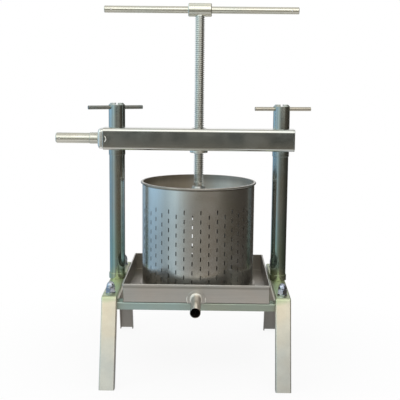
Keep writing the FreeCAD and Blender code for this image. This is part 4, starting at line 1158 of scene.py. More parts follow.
@dataclass
class Posts:
    """Two round posts, each with a ring at the foot and a collar under the beam."""

    x: float = 168
    radius: float = 16
    base: float = 170
    shoulder: float = 429
    stud_radius: float = 12
    stud_top: float = 518.9
    spigot_radius: float = 8
    spigot_base: float = 155
    bevel: float = 0.8
    stud_bevel: float = 2
    ring_radius: float = 17.4
    ring_height: float = 12
    ring_gap: float = 0.02
    collar_radius: float = 17
    collar_height: float = 11
    collar_gap: float = 0.05
    band_edge: float = 0.6

    def post(self) -> np.ndarray:
        """Spigot, post and stud, with bevelled shoulders, turned about Z.

        Returns:
            Grid of shape (profile points, steps, 3).
        """
        profile = np.array([
            (0, self.spigot_base), (self.spigot_radius - self.bevel, self.spigot_base),
            (self.spigot_radius, self.spigot_base + self.bevel), (self.spigot_radius, self.base),
            (self.radius - self.bevel, self.base), (self.radius, self.base + self.bevel),
            (self.radius, (self.base + self.shoulder) / 2), (self.radius, self.shoulder),
            (self.stud_radius, self.shoulder), (self.stud_radius, self.stud_top - self.stud_bevel),
            (self.stud_radius - self.stud_bevel, self.stud_top), (0, self.stud_top),
        ])
        return revolved(profile, 96)

    def band(self, inner: float, outer: float, low: float, height: float) -> np.ndarray:
        """Ring with rounded edges, turned about Z.

        Args:
            inner: radius inside.
            outer: radius outside.
            low: its lower face.
            height: its height.

        Returns:
            Grid of shape (profile points, steps, 3).
        """
        return revolved(ring_profile(inner, outer, low, low + height, self.band_edge), 96)

    def build(self, shop: Workshop) -> None:
        """Make the posts, foot rings and collars.

        Args:
            shop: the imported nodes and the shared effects.
        """
        post = self.post()
        ring_inner, collar_inner = self.radius + self.ring_gap, self.stud_radius + self.collar_gap
        ring = self.band(ring_inner, self.ring_radius, self.base, self.ring_height)
        collar = self.band(collar_inner, self.collar_radius, self.shoulder, self.collar_height)
        for side, x in (("left", -self.x), ("right", self.x)):
            made = Surface().grid(shifted(post, x), wrap_columns=True).made(f"{side}_round_post")
            shop.dress(made, BAR, "root", f"{side}_post")
            made = Surface().closed(shifted(ring, x)).made(f"{side}_foot_band")
            shop.dress(made, BAR, "root", f"{side}_foot_ring")
            made = Surface().closed(shifted(collar, x)).made(f"{side}_collar")
            shop.dress(made, BAR, "root", f"{side}_post_collar")


@dataclass
class Beam:
    """Square tube across the posts, closed by a plate on the right and a block on the left.

    The nose's rows are: distance from the block's outer face, how much narrower than the
    head, and the corner's radius.
    """

    left: float = -195
    right: float = 192
    plate_end: float = 195
    half: float = 22.5
    corner: float = 6.5
    wall: float = 3
    tube_edge: float = 0.5
    middle: float = 462.5
    block_end: float = -206.5
    block_half: float = 20.5
    block_corner: float = 6
    block_edge: float = 0.6
    tongue_end: float = -186
    tongue_gap: float = 0.3
    tongue_corner: float = 2.4
    joint_gap: float = 0.02
    plate_chamfer: float = 0.4
    plate_ground: float = 1.0
    nose: tuple[Point, ...] = (
        (6.5, 0, 6), (4.2, 0.3, 8), (2.4, 1.2, 11), (1.0, 2.6, 13.5), (0.2, 4.2, 14.8), (0, 5.4, 15),
    )
    weld_middle: float = -196
    weld_radius: float = 7.6
    weld_reach: float = 62
    weld_half_width: float = 1.3
    weld_height: float = 0.65
    weld_sunk: float = 0.2

    def squares(self, stations: list[Point]) -> np.ndarray:
        """Rounded squares across X.

        Args:
            stations: for each square its X, half width and corner radius.

        Returns:
            Grid of shape (n, points, 3).
        """
        x, half, radius = np.array(stations, float).T
        ring = rounded_squares(half, radius)
        along = np.broadcast_to(x[:, None], ring.shape[:2])
        return np.stack([along, ring[..., 0], ring[..., 1] + self.middle], -1)

    def tube(self) -> np.ndarray:
        """Outside and inside of the tube in one closed grid, its rims slightly rounded.

        Returns:
            Grid of shape (n, points, 3).
        """
        edge, half, inside = self.tube_edge, self.half, self.half - self.wall
        out, bore = self.corner, self.corner - self.wall
        return self.squares([
            (self.left + edge, half, out), (0, half, out), (self.right - edge, half, out),
            (self.right, half - edge, out - edge), (self.right, inside + edge, bore + edge),
            (self.right - edge, inside, bore), (self.left + edge, inside, bore),
            (self.left, inside + edge, bore + edge), (self.left, half - edge, out - edge),
        ])

    def block(self) -> np.ndarray:
        """End block: a square tongue, then a square head that turns round towards its nose.

        Returns:
            Grid of shape (n, points, 3).
        """
        joint, edge = self.left - self.joint_gap, self.block_edge
        tongue, head = self.half - self.wall - self.tongue_gap, self.block_half
        stations = [
            (self.tongue_end, tongue, self.tongue_corner), (joint, tongue, self.tongue_corner),
            (joint, head - edge, self.block_corner - edge), (self.left - edge, head, self.block_corner),
        ]
        nose = [(self.block_end + back, head - less, corner) for back, less, corner in self.nose]
        return self.squares(stations + nose)

    def plate(self) -> np.ndarray:
        """End plate with a ground, rounded rim.

        Returns:
            Grid of shape (n, points, 3).
        """
        edge, ground = self.plate_chamfer, self.plate_ground
        end, half, out = self.plate_end, self.half, self.corner
        return self.squares([
            (self.right + self.joint_gap, half - edge, out - edge), (self.right + edge, half, out),
            (end - ground, half, out), (end - 0.3 * ground, half - 0.3 * ground, out),
            (end, half - ground, out - 0.6 * ground),
        ])

    def build(self, shop: Workshop) -> None:
        """Make the tube, the block, the plate and the weld by the block.

        Args:
            shop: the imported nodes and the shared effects.
        """
        tube = Surface().closed(self.tube()).made("beam_tube", 30)
        shop.dress(tube, TUBE, "root", "cross_beam")
        block = Surface().solid(self.block()).made("beam_block", 30)
        shop.dress(block, BLOCK_PAINTED_HIGHLIGHT, "root", "beam_end_cap")
        plate = Surface().solid(self.plate()).made("beam_plate", 30)
        shop.dress(plate, TUBE, "root", "beam_end_plate")
        weld = WeldRun(
            (self.weld_middle, self.weld_sunk - self.half, self.middle), self.weld_radius,
            -self.weld_reach, self.weld_reach, self.weld_half_width, self.weld_height, 17,
        )
        shop.dress(Surface().solid(weld.grid()).made("beam_weld", 60), WELD, "root")
        shop.paint(TUBE, "left_beam_bush", "right_beam_bush")


@dataclass
class Grip:
    """Round nut, tube and plug on the beam's left end, on one axis along X."""

    middle: float = 462.5
    nut_start: float = -206.5
    nut_end: float = -224
    nut_radius: float = 11.6
    nut_bore: float = 6.1
    nut_bevel: float = 1
    sleeve_edge: float = 0.3
    plug_edge: float = 0.2

    def build(self, shop: Workshop) -> None:
        """Make the nut, and refine the drilled tube and its plug.

        Args:
            shop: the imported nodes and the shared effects.
        """
        end, start, radius, bevel = self.nut_end, self.nut_start, self.nut_radius, self.nut_bevel
        profile = np.array([
            (self.nut_bore, end), (radius - bevel, end), (radius, end + bevel),
            (radius, start - bevel), (radius - bevel, start), (self.nut_bore, start),
        ])
        grid = shifted(revolved(profile, 72, Axis.X), z=self.middle)
        nut = Surface().closed(grid).made("grip_round_nut", 30)
        shop.dress(nut, HANDLE, "root", "grip_nut")
        sleeve = shop.refined("grip_tube", "grip_sleeve", self.sleeve_edge)
        shop.dress(sleeve, HANDLE, "root", "grip_tube")
        plug = shop.refined("grip_plug", "grip_end_plug", self.plug_edge)
        shop.dress(plug, HANDLE, "root", "grip_plug")
        shop.paint(HANDLE, "grip_rod")


@dataclass
class Clamps:
    """Long round nuts with slotted tops, each with a tommy bar through it."""

    nut_edge: float = 0.5
    bar_edge: float = 0.8

    def build(self, shop: Workshop) -> None:
        """Refine both nuts and both bars.

        Args:
            shop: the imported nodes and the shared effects.
        """
        # The left bar gets painted shade, the right one painted light.
        for side, bar_finish in (("left", SHADED_TOMMY_BAR), ("right", LIT_TOMMY_BAR)):
            body = f"{side}_clamp"
            nut = shop.refined(f"{side}_clamp_nut", f"{side}_post_nut", self.nut_edge)
            shop.dress(nut, CLAMP_NUT, body, f"{side}_clamp_nut")
            bar = shop.refined(f"{side}_clamp_bar", f"{side}_tommy_bar", self.bar_edge)
            shop.dress(bar, bar_finish, body, f"{side}_clamp_bar")
            shop.paint(CLAMP_NUT, f"{side}_bar_pin")


@dataclass
class PressScrew:
    """Screw with a trapezoidal thread, its flanged nut in the beam and the T-handle on top.

    The thread's rows are: share of the pitch, and share of the thread's depth.
    """

    outside: float = 10
    root: float = 7.75
    pitch: float = 4
    thread_low: float = 372
    thread_high: float = 712.5
    thread_rows: tuple[Range, ...] = (
        (0.0, 1.0), (0.27, 1.0), (0.45, 0.1), (0.475, 0.0), (0.795, 0.0), (0.82, 0.1),
    )
    collar_low: float = 366.3
    collar_bevel: float = 0.5
    journal: float = 8
    journal_low: float = 338
    journal_bevel: float = 1
    groove: float = 6
    groove_low: float = 343.5
    groove_high: float = 350.5
    turn_steps: int = 40
    nut_edge: float = 0.4
    hub_edge: float = 0.5
    bar_edge: float = 0.8

    def thread(self) -> np.ndarray:
        """Trapezoidal thread as a grid that climbs one pitch in one turn.

        Row s and turning angle a lie at height low + pitch * (s + a / 2 pi). The share of s
        after its whole part picks the radius: root, flank, crest, flank. The depth fades to
        nothing over one pitch at both ends, where the heights are held at the ends.

        Returns:
            Grid of shape (rows, steps, 3).
        """
        share, depth = np.array(self.thread_rows).T
        turns = int((self.thread_high - self.thread_low) / self.pitch) + 2
        climb = (np.arange(-1, turns)[:, None] + share).ravel()
        depth = np.tile(depth * (self.outside - self.root), turns + 1)
        angle = full_turn(self.turn_steps)
        z = self.thread_low + self.pitch * (climb[:, None] + angle / math.tau)
        z = np.clip(z, self.thread_low, self.thread_high)
        near = np.minimum(z - self.thread_low, self.thread_high - z) / self.pitch
        radius = self.outside - depth[:, None] * np.clip(near, 0, 1)
        return np.stack([radius * np.cos(angle), radius * np.sin(angle), z], -1)

    def screw(self) -> bpy.types.Object:
        """Thread, plain collar and grooved journal in one closed mesh.

        Returns:
            The new piece.
        """
        journal, groove, outside = self.journal, self.groove, self.outside
        low = np.array([
            (0, self.journal_low), (journal - self.journal_bevel, self.journal_low),
            (journal, self.journal_low + self.journal_bevel), (journal, self.groove_low),
            (groove, self.groove_low), (groove, self.groove_high), (journal, self.groove_high),
            (journal, self.collar_low), (outside - self.collar_bevel, self.collar_low),
            (outside, self.collar_low + self.collar_bevel), (outside, self.thread_low),
        ])
        high = np.array([(outside, self.thread_high), (0, self.thread_high)])
        made = Surface().grid(self.thread(), wrap_columns=True, climb=len(self.thread_rows))
        made.grid(revolved(low, self.turn_steps), wrap_columns=True)
        made.grid(revolved(high, self.turn_steps), wrap_columns=True)
        return made.made("threaded_screw", 28)

    def build(self, shop: Workshop) -> None:
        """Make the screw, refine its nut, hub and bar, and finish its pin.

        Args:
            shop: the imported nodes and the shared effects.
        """
        body = "press_spindle"
        shop.dress(self.screw(), SCREW, body, "press_screw")
        nut = shop.refined("screw_nut", "flanged_nut", self.nut_edge)
        shop.dress(nut, SCREW, "root", "screw_nut")
        hub = shop.refined("handle_hub", "handle_sleeve", self.hub_edge)
        shop.dress(hub, HUB_PAINTED_HIGHLIGHT, body, "handle_hub")
        bar = shop.refined("handle_bar", "cross_handle", self.bar_edge)
        shop.dress(bar, HANDLE, body, "handle_bar")
        shop.paint(HANDLE, "handle_pin")


@dataclass
class PressHead:
    """Boss, pressing plate and gussets inside the basket."""

    boss_edge: float = 0.4
    plate_edge: float = 1.0
    gusset_edge: float = 0.4

    def build(self, shop: Workshop) -> None:
        """Refine the boss, the plate and the gussets.

        Args:
            shop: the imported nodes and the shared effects.
        """
        body = "press_head"
        boss = shop.refined("thrust_boss", "screw_boss", self.boss_edge)
        shop.dress(boss, BOSS, body, "thrust_boss")
        plate = shop.refined("pressing_plate", "round_plate", self.plate_edge)
        shop.dress(plate, PLATE, body, "pressing_plate")
        gussets = shop.refined("plate_gussets", "plate_ribs", self.gusset_edge)
        shop.dress(gussets, PLATE, body, "plate_gussets")
        shop.paint(SCREW, "boss_set_screw")


@dataclass(frozen=True)
class Sheet:
    """One half of the basket: first column of slots, number of columns and highest slot."""

    start: float
    columns: int
    first: float


@dataclass
class Basket:
    """Cylinder of two perforated sheets with staggered upright slots, and a bead at its rim.

    Angles are in degrees from the front, anticlockwise seen from above.
    """

    radius: float = 115.5
    wall: float = 1.5
    low: float = 164.8
    high: float = 376
    pitch: float = 18.5
    step: float = 8.18
    slot_half_width: float = 1.0
    slot_half_length: float = 4.5
    rows: int = 9
    front: Sheet = Sheet(-94.6, 22, 328.0)
    back: Sheet = Sheet(88.9, 21, 330.6)
    quarters: int = 4
    band_rows: int = 9
    bead: float = 3.4
    bead_depth: float = 4
    bead_gap: float = 0.02
    bead_edges: tuple[float, ...] = (0.3, 2.1, 1.8, 0.3)
    seam_half_width: float = 1.8
    seam_height: float = 0.45
    seam_drop: float = 2.4
    seam_ripple: float = 0.15
    seam_sunk: float = 0.05

    def on_wall(
        self, degrees: np.ndarray, up: np.ndarray | float, inwards: np.ndarray | float
    ) -> np.ndarray:
        """Points on the cylinder, from their angle, height and depth in the wall.

        Args:
            degrees: angles from the front.
            up: heights.
            inwards: depths below the outer face. The three shapes are broadcast.

        Returns:
            Points of the broadcast shape with (x, y, z) added.
        """
        angle = np.radians(degrees - 90)
        radius = self.radius - inwards
        x, y, z = np.broadcast_arrays(radius * np.cos(angle), radius * np.sin(angle), up)
        return np.stack([x, y, z], -1)

    def cell(self) -> tuple[np.ndarray, np.ndarray]:
        """Edge of one cell and its slot's outline, each as (degrees round, millimetres up).

        The edge has four segments along each side. The slot's ends are half circles, and each
        of its points lies opposite a point of the edge.

        Returns:
            The edge's points, and the slot's points, 16 each.
        """
        share = np.linspace(-1, 1, self.quarters, endpoint=False)
        ones = np.ones_like(share)
        around, up = self.step / 2, self.pitch / 2
        edge = np.concatenate([
            np.stack([share * around, ones * up], 1), np.stack([ones * around, -share * up], 1),
            np.stack([-share * around, -ones * up], 1), np.stack([-ones * around, share * up], 1),
        ])
        half = self.slot_half_width
        straight = self.slot_half_length - half
        turn = np.linspace(math.pi, 0, self.quarters, endpoint=False)
        arc = np.stack([np.cos(turn), np.sin(turn)], 1) * half
        slot = np.concatenate([
            arc + (0, straight), np.stack([ones * half, -share * straight], 1),
            -arc - (0, straight), np.stack([-ones * half, share * straight], 1),
        ])
        slot[:, 0] = np.degrees(slot[:, 0] / self.radius)
        return edge, slot

    def slotted(self, made: Surface, sheet: Sheet) -> None:
        """Lay the cell over every slot: outer skin, the slot's wall and inner skin.

        Args:
            made: the shell.
            sheet: the sheet whose slots are laid.
        """
        edge, slot = self.cell()
        columns, rows = np.meshgrid(np.arange(sheet.columns), np.arange(self.rows), indexing="ij")
        odd = columns % 2 == 1
        kept = ~(odd & (rows == self.rows - 1))
        around = (sheet.start + self.step * columns)[kept][:, None]
        lowered = np.where(odd, self.pitch / 2, 0)
        up = (sheet.first - self.pitch * rows - lowered)[kept][:, None]
        order = ((edge, 0), (slot, 0), (slot, self.wall), (edge, self.wall))
        rings = [
            self.on_wall(around + ring[:, 0], up + ring[:, 1], inwards) for ring, inwards in order
        ]
        index = np.arange(len(order) * len(edge)).reshape(len(order), -1)
        wrapped = np.concatenate([index, index[:, :1]], axis=1)
        made.cells(np.concatenate(rings, axis=1), quads_between(wrapped))

    def heights(self, sheet: Sheet) -> np.ndarray:
        """Heights of the points along a sheet's upright edge, from the rim down.

        Args:
            sheet: the sheet.

        Returns:
            The heights above the slots, then four to each pitch, then the lower edge.
        """
        top = sheet.first + self.pitch / 2
        steps = np.arange(1, self.quarters * self.rows + 1) / self.quarters
        above = np.linspace(self.high, top, self.band_rows)
        return np.concatenate([above, top - self.pitch * steps, [self.low]])

    def angles(self, sheet: Sheet) -> np.ndarray:
        """Angles of the points along a sheet's upper and lower edge, four to each column."""
        columns = np.arange(self.quarters * sheet.columns + 1) / self.quarters - 0.5
        return sheet.start + self.step * columns

    def plain(self, made: Surface, sheet: Sheet) -> None:
        """Fill above and below the slots: half cells in odd columns, and a band over the sheet.

        Args:
            made: the shell.
            sheet: the sheet that is filled.
        """
        heights, angles = self.heights(sheet), self.angles(sheet)
        share = np.linspace(-0.5, 0.5, self.quarters + 1)
        odd = np.arange(1, sheet.columns, 2)
        around = sheet.start + self.step * (odd[:, None, None] + share)
        half_cell = np.arange(3 * len(share)).reshape(3, -1)
        above, below = heights[:self.band_rows], heights[-2:]
        ends = (heights[self.band_rows - 1:self.band_rows + 2], heights[-4:-1])
        for inwards in (0, self.wall):
            for rows in ends:
                points = self.on_wall(around, rows[:, None], inwards)
                made.cells(points.reshape(len(odd), -1, 3), quads_between(half_cell))
            for band in (above, below):
                made.grid(self.on_wall(angles, band[:, None], inwards))

    def seam_middles(self) -> tuple[float, float]:
        """Angles of the right and the left seam, halfway between the sheets."""
        front, back = self.angles(self.front), self.angles(self.back)
        return (front[-1] + back[0]) / 2, (back[-1] + front[0] + 360) / 2

    def strips(self, made: Surface) -> None:
        """Join the sheets: a plain strip at each side, and the wall's upper and lower edge.

        Args:
            made: the shell.
        """
        front_up, back_up = self.heights(self.front), self.heights(self.back)
        front, back = self.angles(self.front), self.angles(self.back)
        share = np.array([0, 0.5, 1])
        gaps = (
            (front[-1], back[0], front_up, back_up), (back[-1], front[0] + 360, back_up, front_up),
        )
        for inwards in (0, self.wall):
            for first, last, first_up, last_up in gaps:
                degrees = first + (last - first) * share
                up = first_up[:, None] + (last_up - first_up)[:, None] * share
                made.grid(self.on_wall(degrees, up, inwards))
        right, left = self.seam_middles()
        around = np.concatenate([front, [right], back, [left]])
        for height in (self.high, self.low):
            edge = self.on_wall(around, height, np.array([[0.0], [self.wall]]))
            made.grid(edge, wrap_columns=True)

    def seam(self, middle: float) -> np.ndarray:
        """Weld bead down one strip: a flat half ellipse whose height ripples along the seam.

        Args:
            middle: angle of the seam from the front, in degrees.

        Returns:
            Grid of shape (points up, points across, 3).
        """
        up = np.linspace(self.low + 1, self.high - self.bead_depth - 0.5, 180)[:, None]
        turn = np.linspace(0, math.pi, 7)
        ends = np.clip(np.minimum(up - up.min(), up.max() - up) / 2, 0, 1)
        ripple = self.seam_ripple * (np.sin(math.tau * up / self.seam_drop) - 1)
        size = (1 + ripple) * np.sqrt(ends)
        degrees = middle + np.degrees(self.seam_half_width * np.cos(turn) * size / self.radius)
        outwards = self.seam_height * np.sin(turn) * size
        return self.on_wall(degrees, up, self.seam_sunk - outwards)

    def build(self, shop: Workshop) -> None:
        """Make the perforated shell, the rim and the two welded seams.

        Args:
            shop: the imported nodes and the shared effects.
        """
        shell = Surface()
        for sheet in (self.front, self.back):
            self.slotted(shell, sheet)
            self.plain(shell, sheet)
        self.strips(shell)
        piece = shop.dress(shell.made("perforated_shell", 40), BASKET, "basket", "basket_shell")
        # The inner faces get the painted light and shade of the basket's inside.
        middles = face_middles(piece)
        inner = np.hypot(middles[:, 0], middles[:, 1]) < self.radius - 0.9 * self.wall
        shop.line(piece, BASKET_INSIDE_LIGHT_AND_SHADE, inner)
        section = ring_profile(
            self.radius + self.bead_gap, self.radius + self.bead,
            self.high - self.bead_depth, self.high, np.array(self.bead_edges), 6,
        )
        rim = Surface().closed(revolved(section, 176))
        shop.dress(rim.made("rolled_rim", 50), SHADED_RIM, "basket", "basket_rim")
        seams = Surface()
        for middle in self.seam_middles():
            seams.grid(self.seam(middle), wrap_columns=True)
        shop.dress(seams.made("basket_seams", 70), WELD, "basket")


@dataclass
class Tray:
    """Square tray of folded sheet with a hemmed rim, and its outlet pipe in front."""

    half: float = 142.5
    corner: float = 2.0
    wall: float = 1.5
    low: float = 155
    high: float = 192
    floor_reach: float = 7
    hem: float = 1.5
    hem_depth: float = 5
    bend: float = 2.5
    spout_radius: float = 10
    spout_wall: float = 1
    spout_end: float = -238.5
    spout_start: float = -141
    spout_height: float = 163
    mouth_edge: float = 0.4
    plate_radius: float = 18
    plate_front: float = -143.7
    plate_foot: float = 0.05
    weld_front: float = -146.7
    weld_radius: float = 13
    weld_sunk: float = 0.3
    weld_drops: int = 26
    weld_ripple: float = 0.07
    tack_radius: float = 18
    tack_size: float = 1.52
    tack_sunk: float = 0.1
    tack_ripple: float = 0.1
    tack_angles: tuple[Range, ...] = ((160, 208), (-22, 14))

    def walls(self) -> np.ndarray:
        """Section of floor edge, bend, wall and hem, carried round the rounded square.

        The section's first number is the distance outside the wall's outer face. At each of its
        points the square is wider by that distance, and so is its corner's radius.

        Returns:
            Grid of shape (section points, points round the tray, 3).
        """
        hem_low, floor, deep = self.high - self.hem_depth, self.low + self.wall, self.floor_reach
        corners = np.array([
            (-deep, self.low), (0, self.low), (0, hem_low), (self.hem, hem_low),
            (self.hem, self.high), (-self.wall, self.high), (-self.wall, floor), (-deep, floor),
        ])
        radii = np.array([0, self.bend, 0.2, 0.5, 1.3, 0.7, self.bend - self.wall, 0])
        out, z = rounded(corners, radii, 4, closed=False).T
        ring = rounded_squares(self.half + out, np.maximum(self.corner + out, 0.02), 5)
        height = np.broadcast_to(z[:, None], ring.shape[:2])
        return np.concatenate([ring, height[..., None]], -1)

    def on_spout(self, profile: np.ndarray, steps: int) -> np.ndarray:
        """Turn a profile round the outlet pipe's axis, which runs along Y."""
        return shifted(revolved(profile, steps, Axis.Y), z=self.spout_height)

    def pipe(self) -> np.ndarray:
        """Outlet pipe with a rounded mouth.

        Returns:
            Grid of shape (profile points, steps, 3).
        """
        inner, outer, edge = self.spout_radius - self.spout_wall, self.spout_radius, self.mouth_edge
        edges = np.array([0, 0, edge, edge])
        return self.on_spout(ring_profile(inner, outer, self.spout_start, self.spout_end, edges), 72)

    def plate(self) -> np.ndarray:
        """Round plate on the tray's wall, its front edge rounded and its foot cut level.

        Returns:
            Grid of shape (profile points, steps, 3).
        """
        edges = np.array([0, 0.1, 0.7, 0])
        section = ring_profile(
            self.spout_radius, self.plate_radius, -self.half, self.plate_front, edges,
        )
        disc = self.on_spout(section, 96)
        disc[..., 2] = np.maximum(disc[..., 2], self.low + self.plate_foot)
        return disc

    def bead(self) -> np.ndarray:
        """Weld bead round the pipe: a rounded ring whose width ripples with each drop of the weld.

        The bead's section is a quarter of an ellipse from the plate to the pipe, and its size
        is least between two drops, where the sine that counts them is nothing.

        Returns:
            Grid of shape (section points, steps, 3).
        """
        angle = full_turn(144)
        wave = np.abs(np.sin(self.weld_drops * angle / 2))
        size = 1 - self.weld_ripple * (1 - wave)
        turn = np.linspace(0, math.pi / 2, 8)[:, None]
        foot = self.spout_radius - self.weld_sunk
        radius = foot + (self.weld_radius - foot) * np.cos(turn) * size
        depth = (self.plate_front - self.weld_front) * np.sin(turn) * size
        local = np.stack(
            [radius * np.cos(angle), radius * np.sin(angle), self.plate_front - depth], -1,
        )
        return shifted(Axis.Y.oriented(local), z=self.spout_height)

    def tacks(self) -> Surface:
        """Short weld runs on the plate's rim, one at each side.

        Returns:
            Their surface.
        """
        made = Surface()
        middle = (0, self.plate_front - self.tack_sunk, self.spout_height)
        for start, end in self.tack_angles:
            run = WeldRun(
                middle, self.tack_radius, start, end, self.tack_size, self.tack_size, 25,
                self.tack_ripple,
            )
            made.solid(run.grid())
        return made

    def build(self, shop: Workshop) -> None:
        """Make the tray, the pipe, its plate and its weld, and finish the drain plate.

        Args:
            shop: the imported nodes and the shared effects.
        """
        walls = self.walls()
        tray = Surface().grid(walls, wrap_columns=True).cap(walls[0]).cap(walls[-1])
        tray = shop.dress(tray.made("folded_tray", 40), TRAY, "root", "juice_tray")
        # The inner walls, all but the front one, get painted shade.
        x, y, z = face_middles(tray).T
        inside = np.maximum(np.abs(x), np.abs(y)) < self.half - 0.9 * self.wall
        over_floor = z > self.low + 0.5
        front = y < 0.8 * self.wall - self.half
        shop.line(tray, TRAY_INSIDE_SHADE, inside & over_floor & ~front)
        pipe = Surface().closed(self.pipe()).made("outlet_pipe")
        shop.dress(pipe, OUTLET, "root", "tray_spout")
        # The bore gets painted shade.
        x, y, z = face_middles(pipe).T
        bore = self.spout_radius - 0.8 * self.spout_wall
        shop.line(pipe, OUTLET_BORE_SHADE, np.hypot(x, z - self.spout_height) < bore)
        plate = Surface().closed(self.plate()).made("outlet_plate")
        shop.dress(plate, TRAY, "root", "spout_plate")
        weld = Surface().closed(self.bead())
        shop.dress(weld.made("outlet_weld", 60), WELD, "root", "spout_weld")
        shop.dress(self.tacks().made("plate_tacks", 60), WELD, "root")
        # The drain plate and bars get the same painted shade.
        shop.paint(TRAY_INSIDE_SHADE, "drain_plate", "drain_bars")


@dataclass(frozen=True)
class Wall:
    """What metal reflects between two heights: colours by the angle from the front, in degrees.

    The heights are the Z of a direction: nothing of the wall at starts, all of it at full.
    """

    starts: float
    full: float
    stops: tuple[tuple[float, Colour], ...]


LOWER_WALL = Wall(-0.5, -0.3, (
    (-180, (1.0, 1.0, 1.0)), (-174, (0.9, 0.9, 0.9)), (-168, (0.22, 0.28, 0.34)),
    (-157, (0.25, 0.34, 0.43)), (-114, (0.35, 0.52, 0.68)), (-89, (0.35, 0.49, 0.61)),
    (-68, (0.33, 0.42, 0.47)), (-50, (0.55, 0.69, 0.77)), (-32, (0.4, 0.44, 0.44)),
    (-16, (0.3, 0.29, 0.265)), (0, (0.23, 0.21, 0.17)), (16, (0.195, 0.162, 0.12)),
    (32, (0.165, 0.135, 0.102)), (50, (0.122, 0.108, 0.083)), (68, (0.09, 0.08, 0.06)),
    (89, (0.06, 0.052, 0.04)), (114, (0.05, 0.042, 0.033)), (166, (0.045, 0.04, 0.033)),
    (174, (0.9, 0.9, 0.9)), (180, (1.0, 1.0, 1.0)),
))
DIM_WALL = Wall(-0.13, -0.085, (
    (-180, (0.5, 0.5, 0.5)), (-174, (0.45, 0.45, 0.45)), (-166, (0.22, 0.28, 0.34)),
    (-131, (0.32, 0.46, 0.6)), (-101, (0.44, 0.68, 0.92)), (-78, (0.42, 0.6, 0.78)),
    (-59, (0.36, 0.46, 0.53)), (-44, (0.56, 0.68, 0.74)), (-26, (0.31, 0.35, 0.34)),
    (-9, (0.092, 0.1, 0.095)), (6, (0.058, 0.061, 0.056)), (24, (0.1, 0.09, 0.072)),
    (41, (0.09, 0.08, 0.062)), (59, (0.08, 0.068, 0.052)), (78, (0.06, 0.05, 0.038)),
    (101, (0.045, 0.04, 0.032)), (166, (0.05, 0.05, 0.045)), (174, (0.45, 0.45, 0.45)),
    (180, (0.5, 0.5, 0.5)),
))
UPPER_WALL = Wall(-0.038, 0.0, (
    (-180, (1.0, 1.0, 1.0)), (-174, (0.9, 0.9, 0.9)), (-166, (0.5, 0.55, 0.6)),
    (-131, (0.7, 0.82, 0.88)), (-90, (0.62, 0.8, 0.84)), (-50, (0.66, 0.82, 0.82)),
    (-28, (0.85, 0.95, 0.92)), (0, (0.95, 0.95, 0.9)), (24, (1.05, 1.05, 1.0)),
    (39, (1.0, 1.0, 0.94)), (50, (0.2, 0.185, 0.16)), (66, (0.1, 0.09, 0.08)),
    (101, (0.1, 0.09, 0.08)), (135, (0.3, 0.3, 0.28)), (166, (0.12, 0.11, 0.1)),
    (174, (0.9, 0.9, 0.9)), (180, (1.0, 1.0, 1.0)),
))


@dataclass(frozen=True)
class Lamp:
    """Soft rectangular lamp: place in metres, width and height, power in watts, and colour."""

    name: str
    place: Point
    size: tuple[float, float]
    power: float
    tint: Colour

    def hang(self, aim: Vector) -> None:
        """Hang the lamp.

        Args:
            aim: the point it faces.
        """
        data = bpy.data.lights.new(self.name, "AREA")
        data.shape = "RECTANGLE"
        data.size, data.size_y = self.size
        data.energy = self.power
        data.color = self.tint
        lamp = bpy.data.objects.new(self.name, data)
        lamp.location = self.place
        lamp.rotation_euler = (aim - Vector(self.place)).to_track_quat("-Z", "Y").to_euler()
        bpy.context.scene.collection.objects.link(lamp)


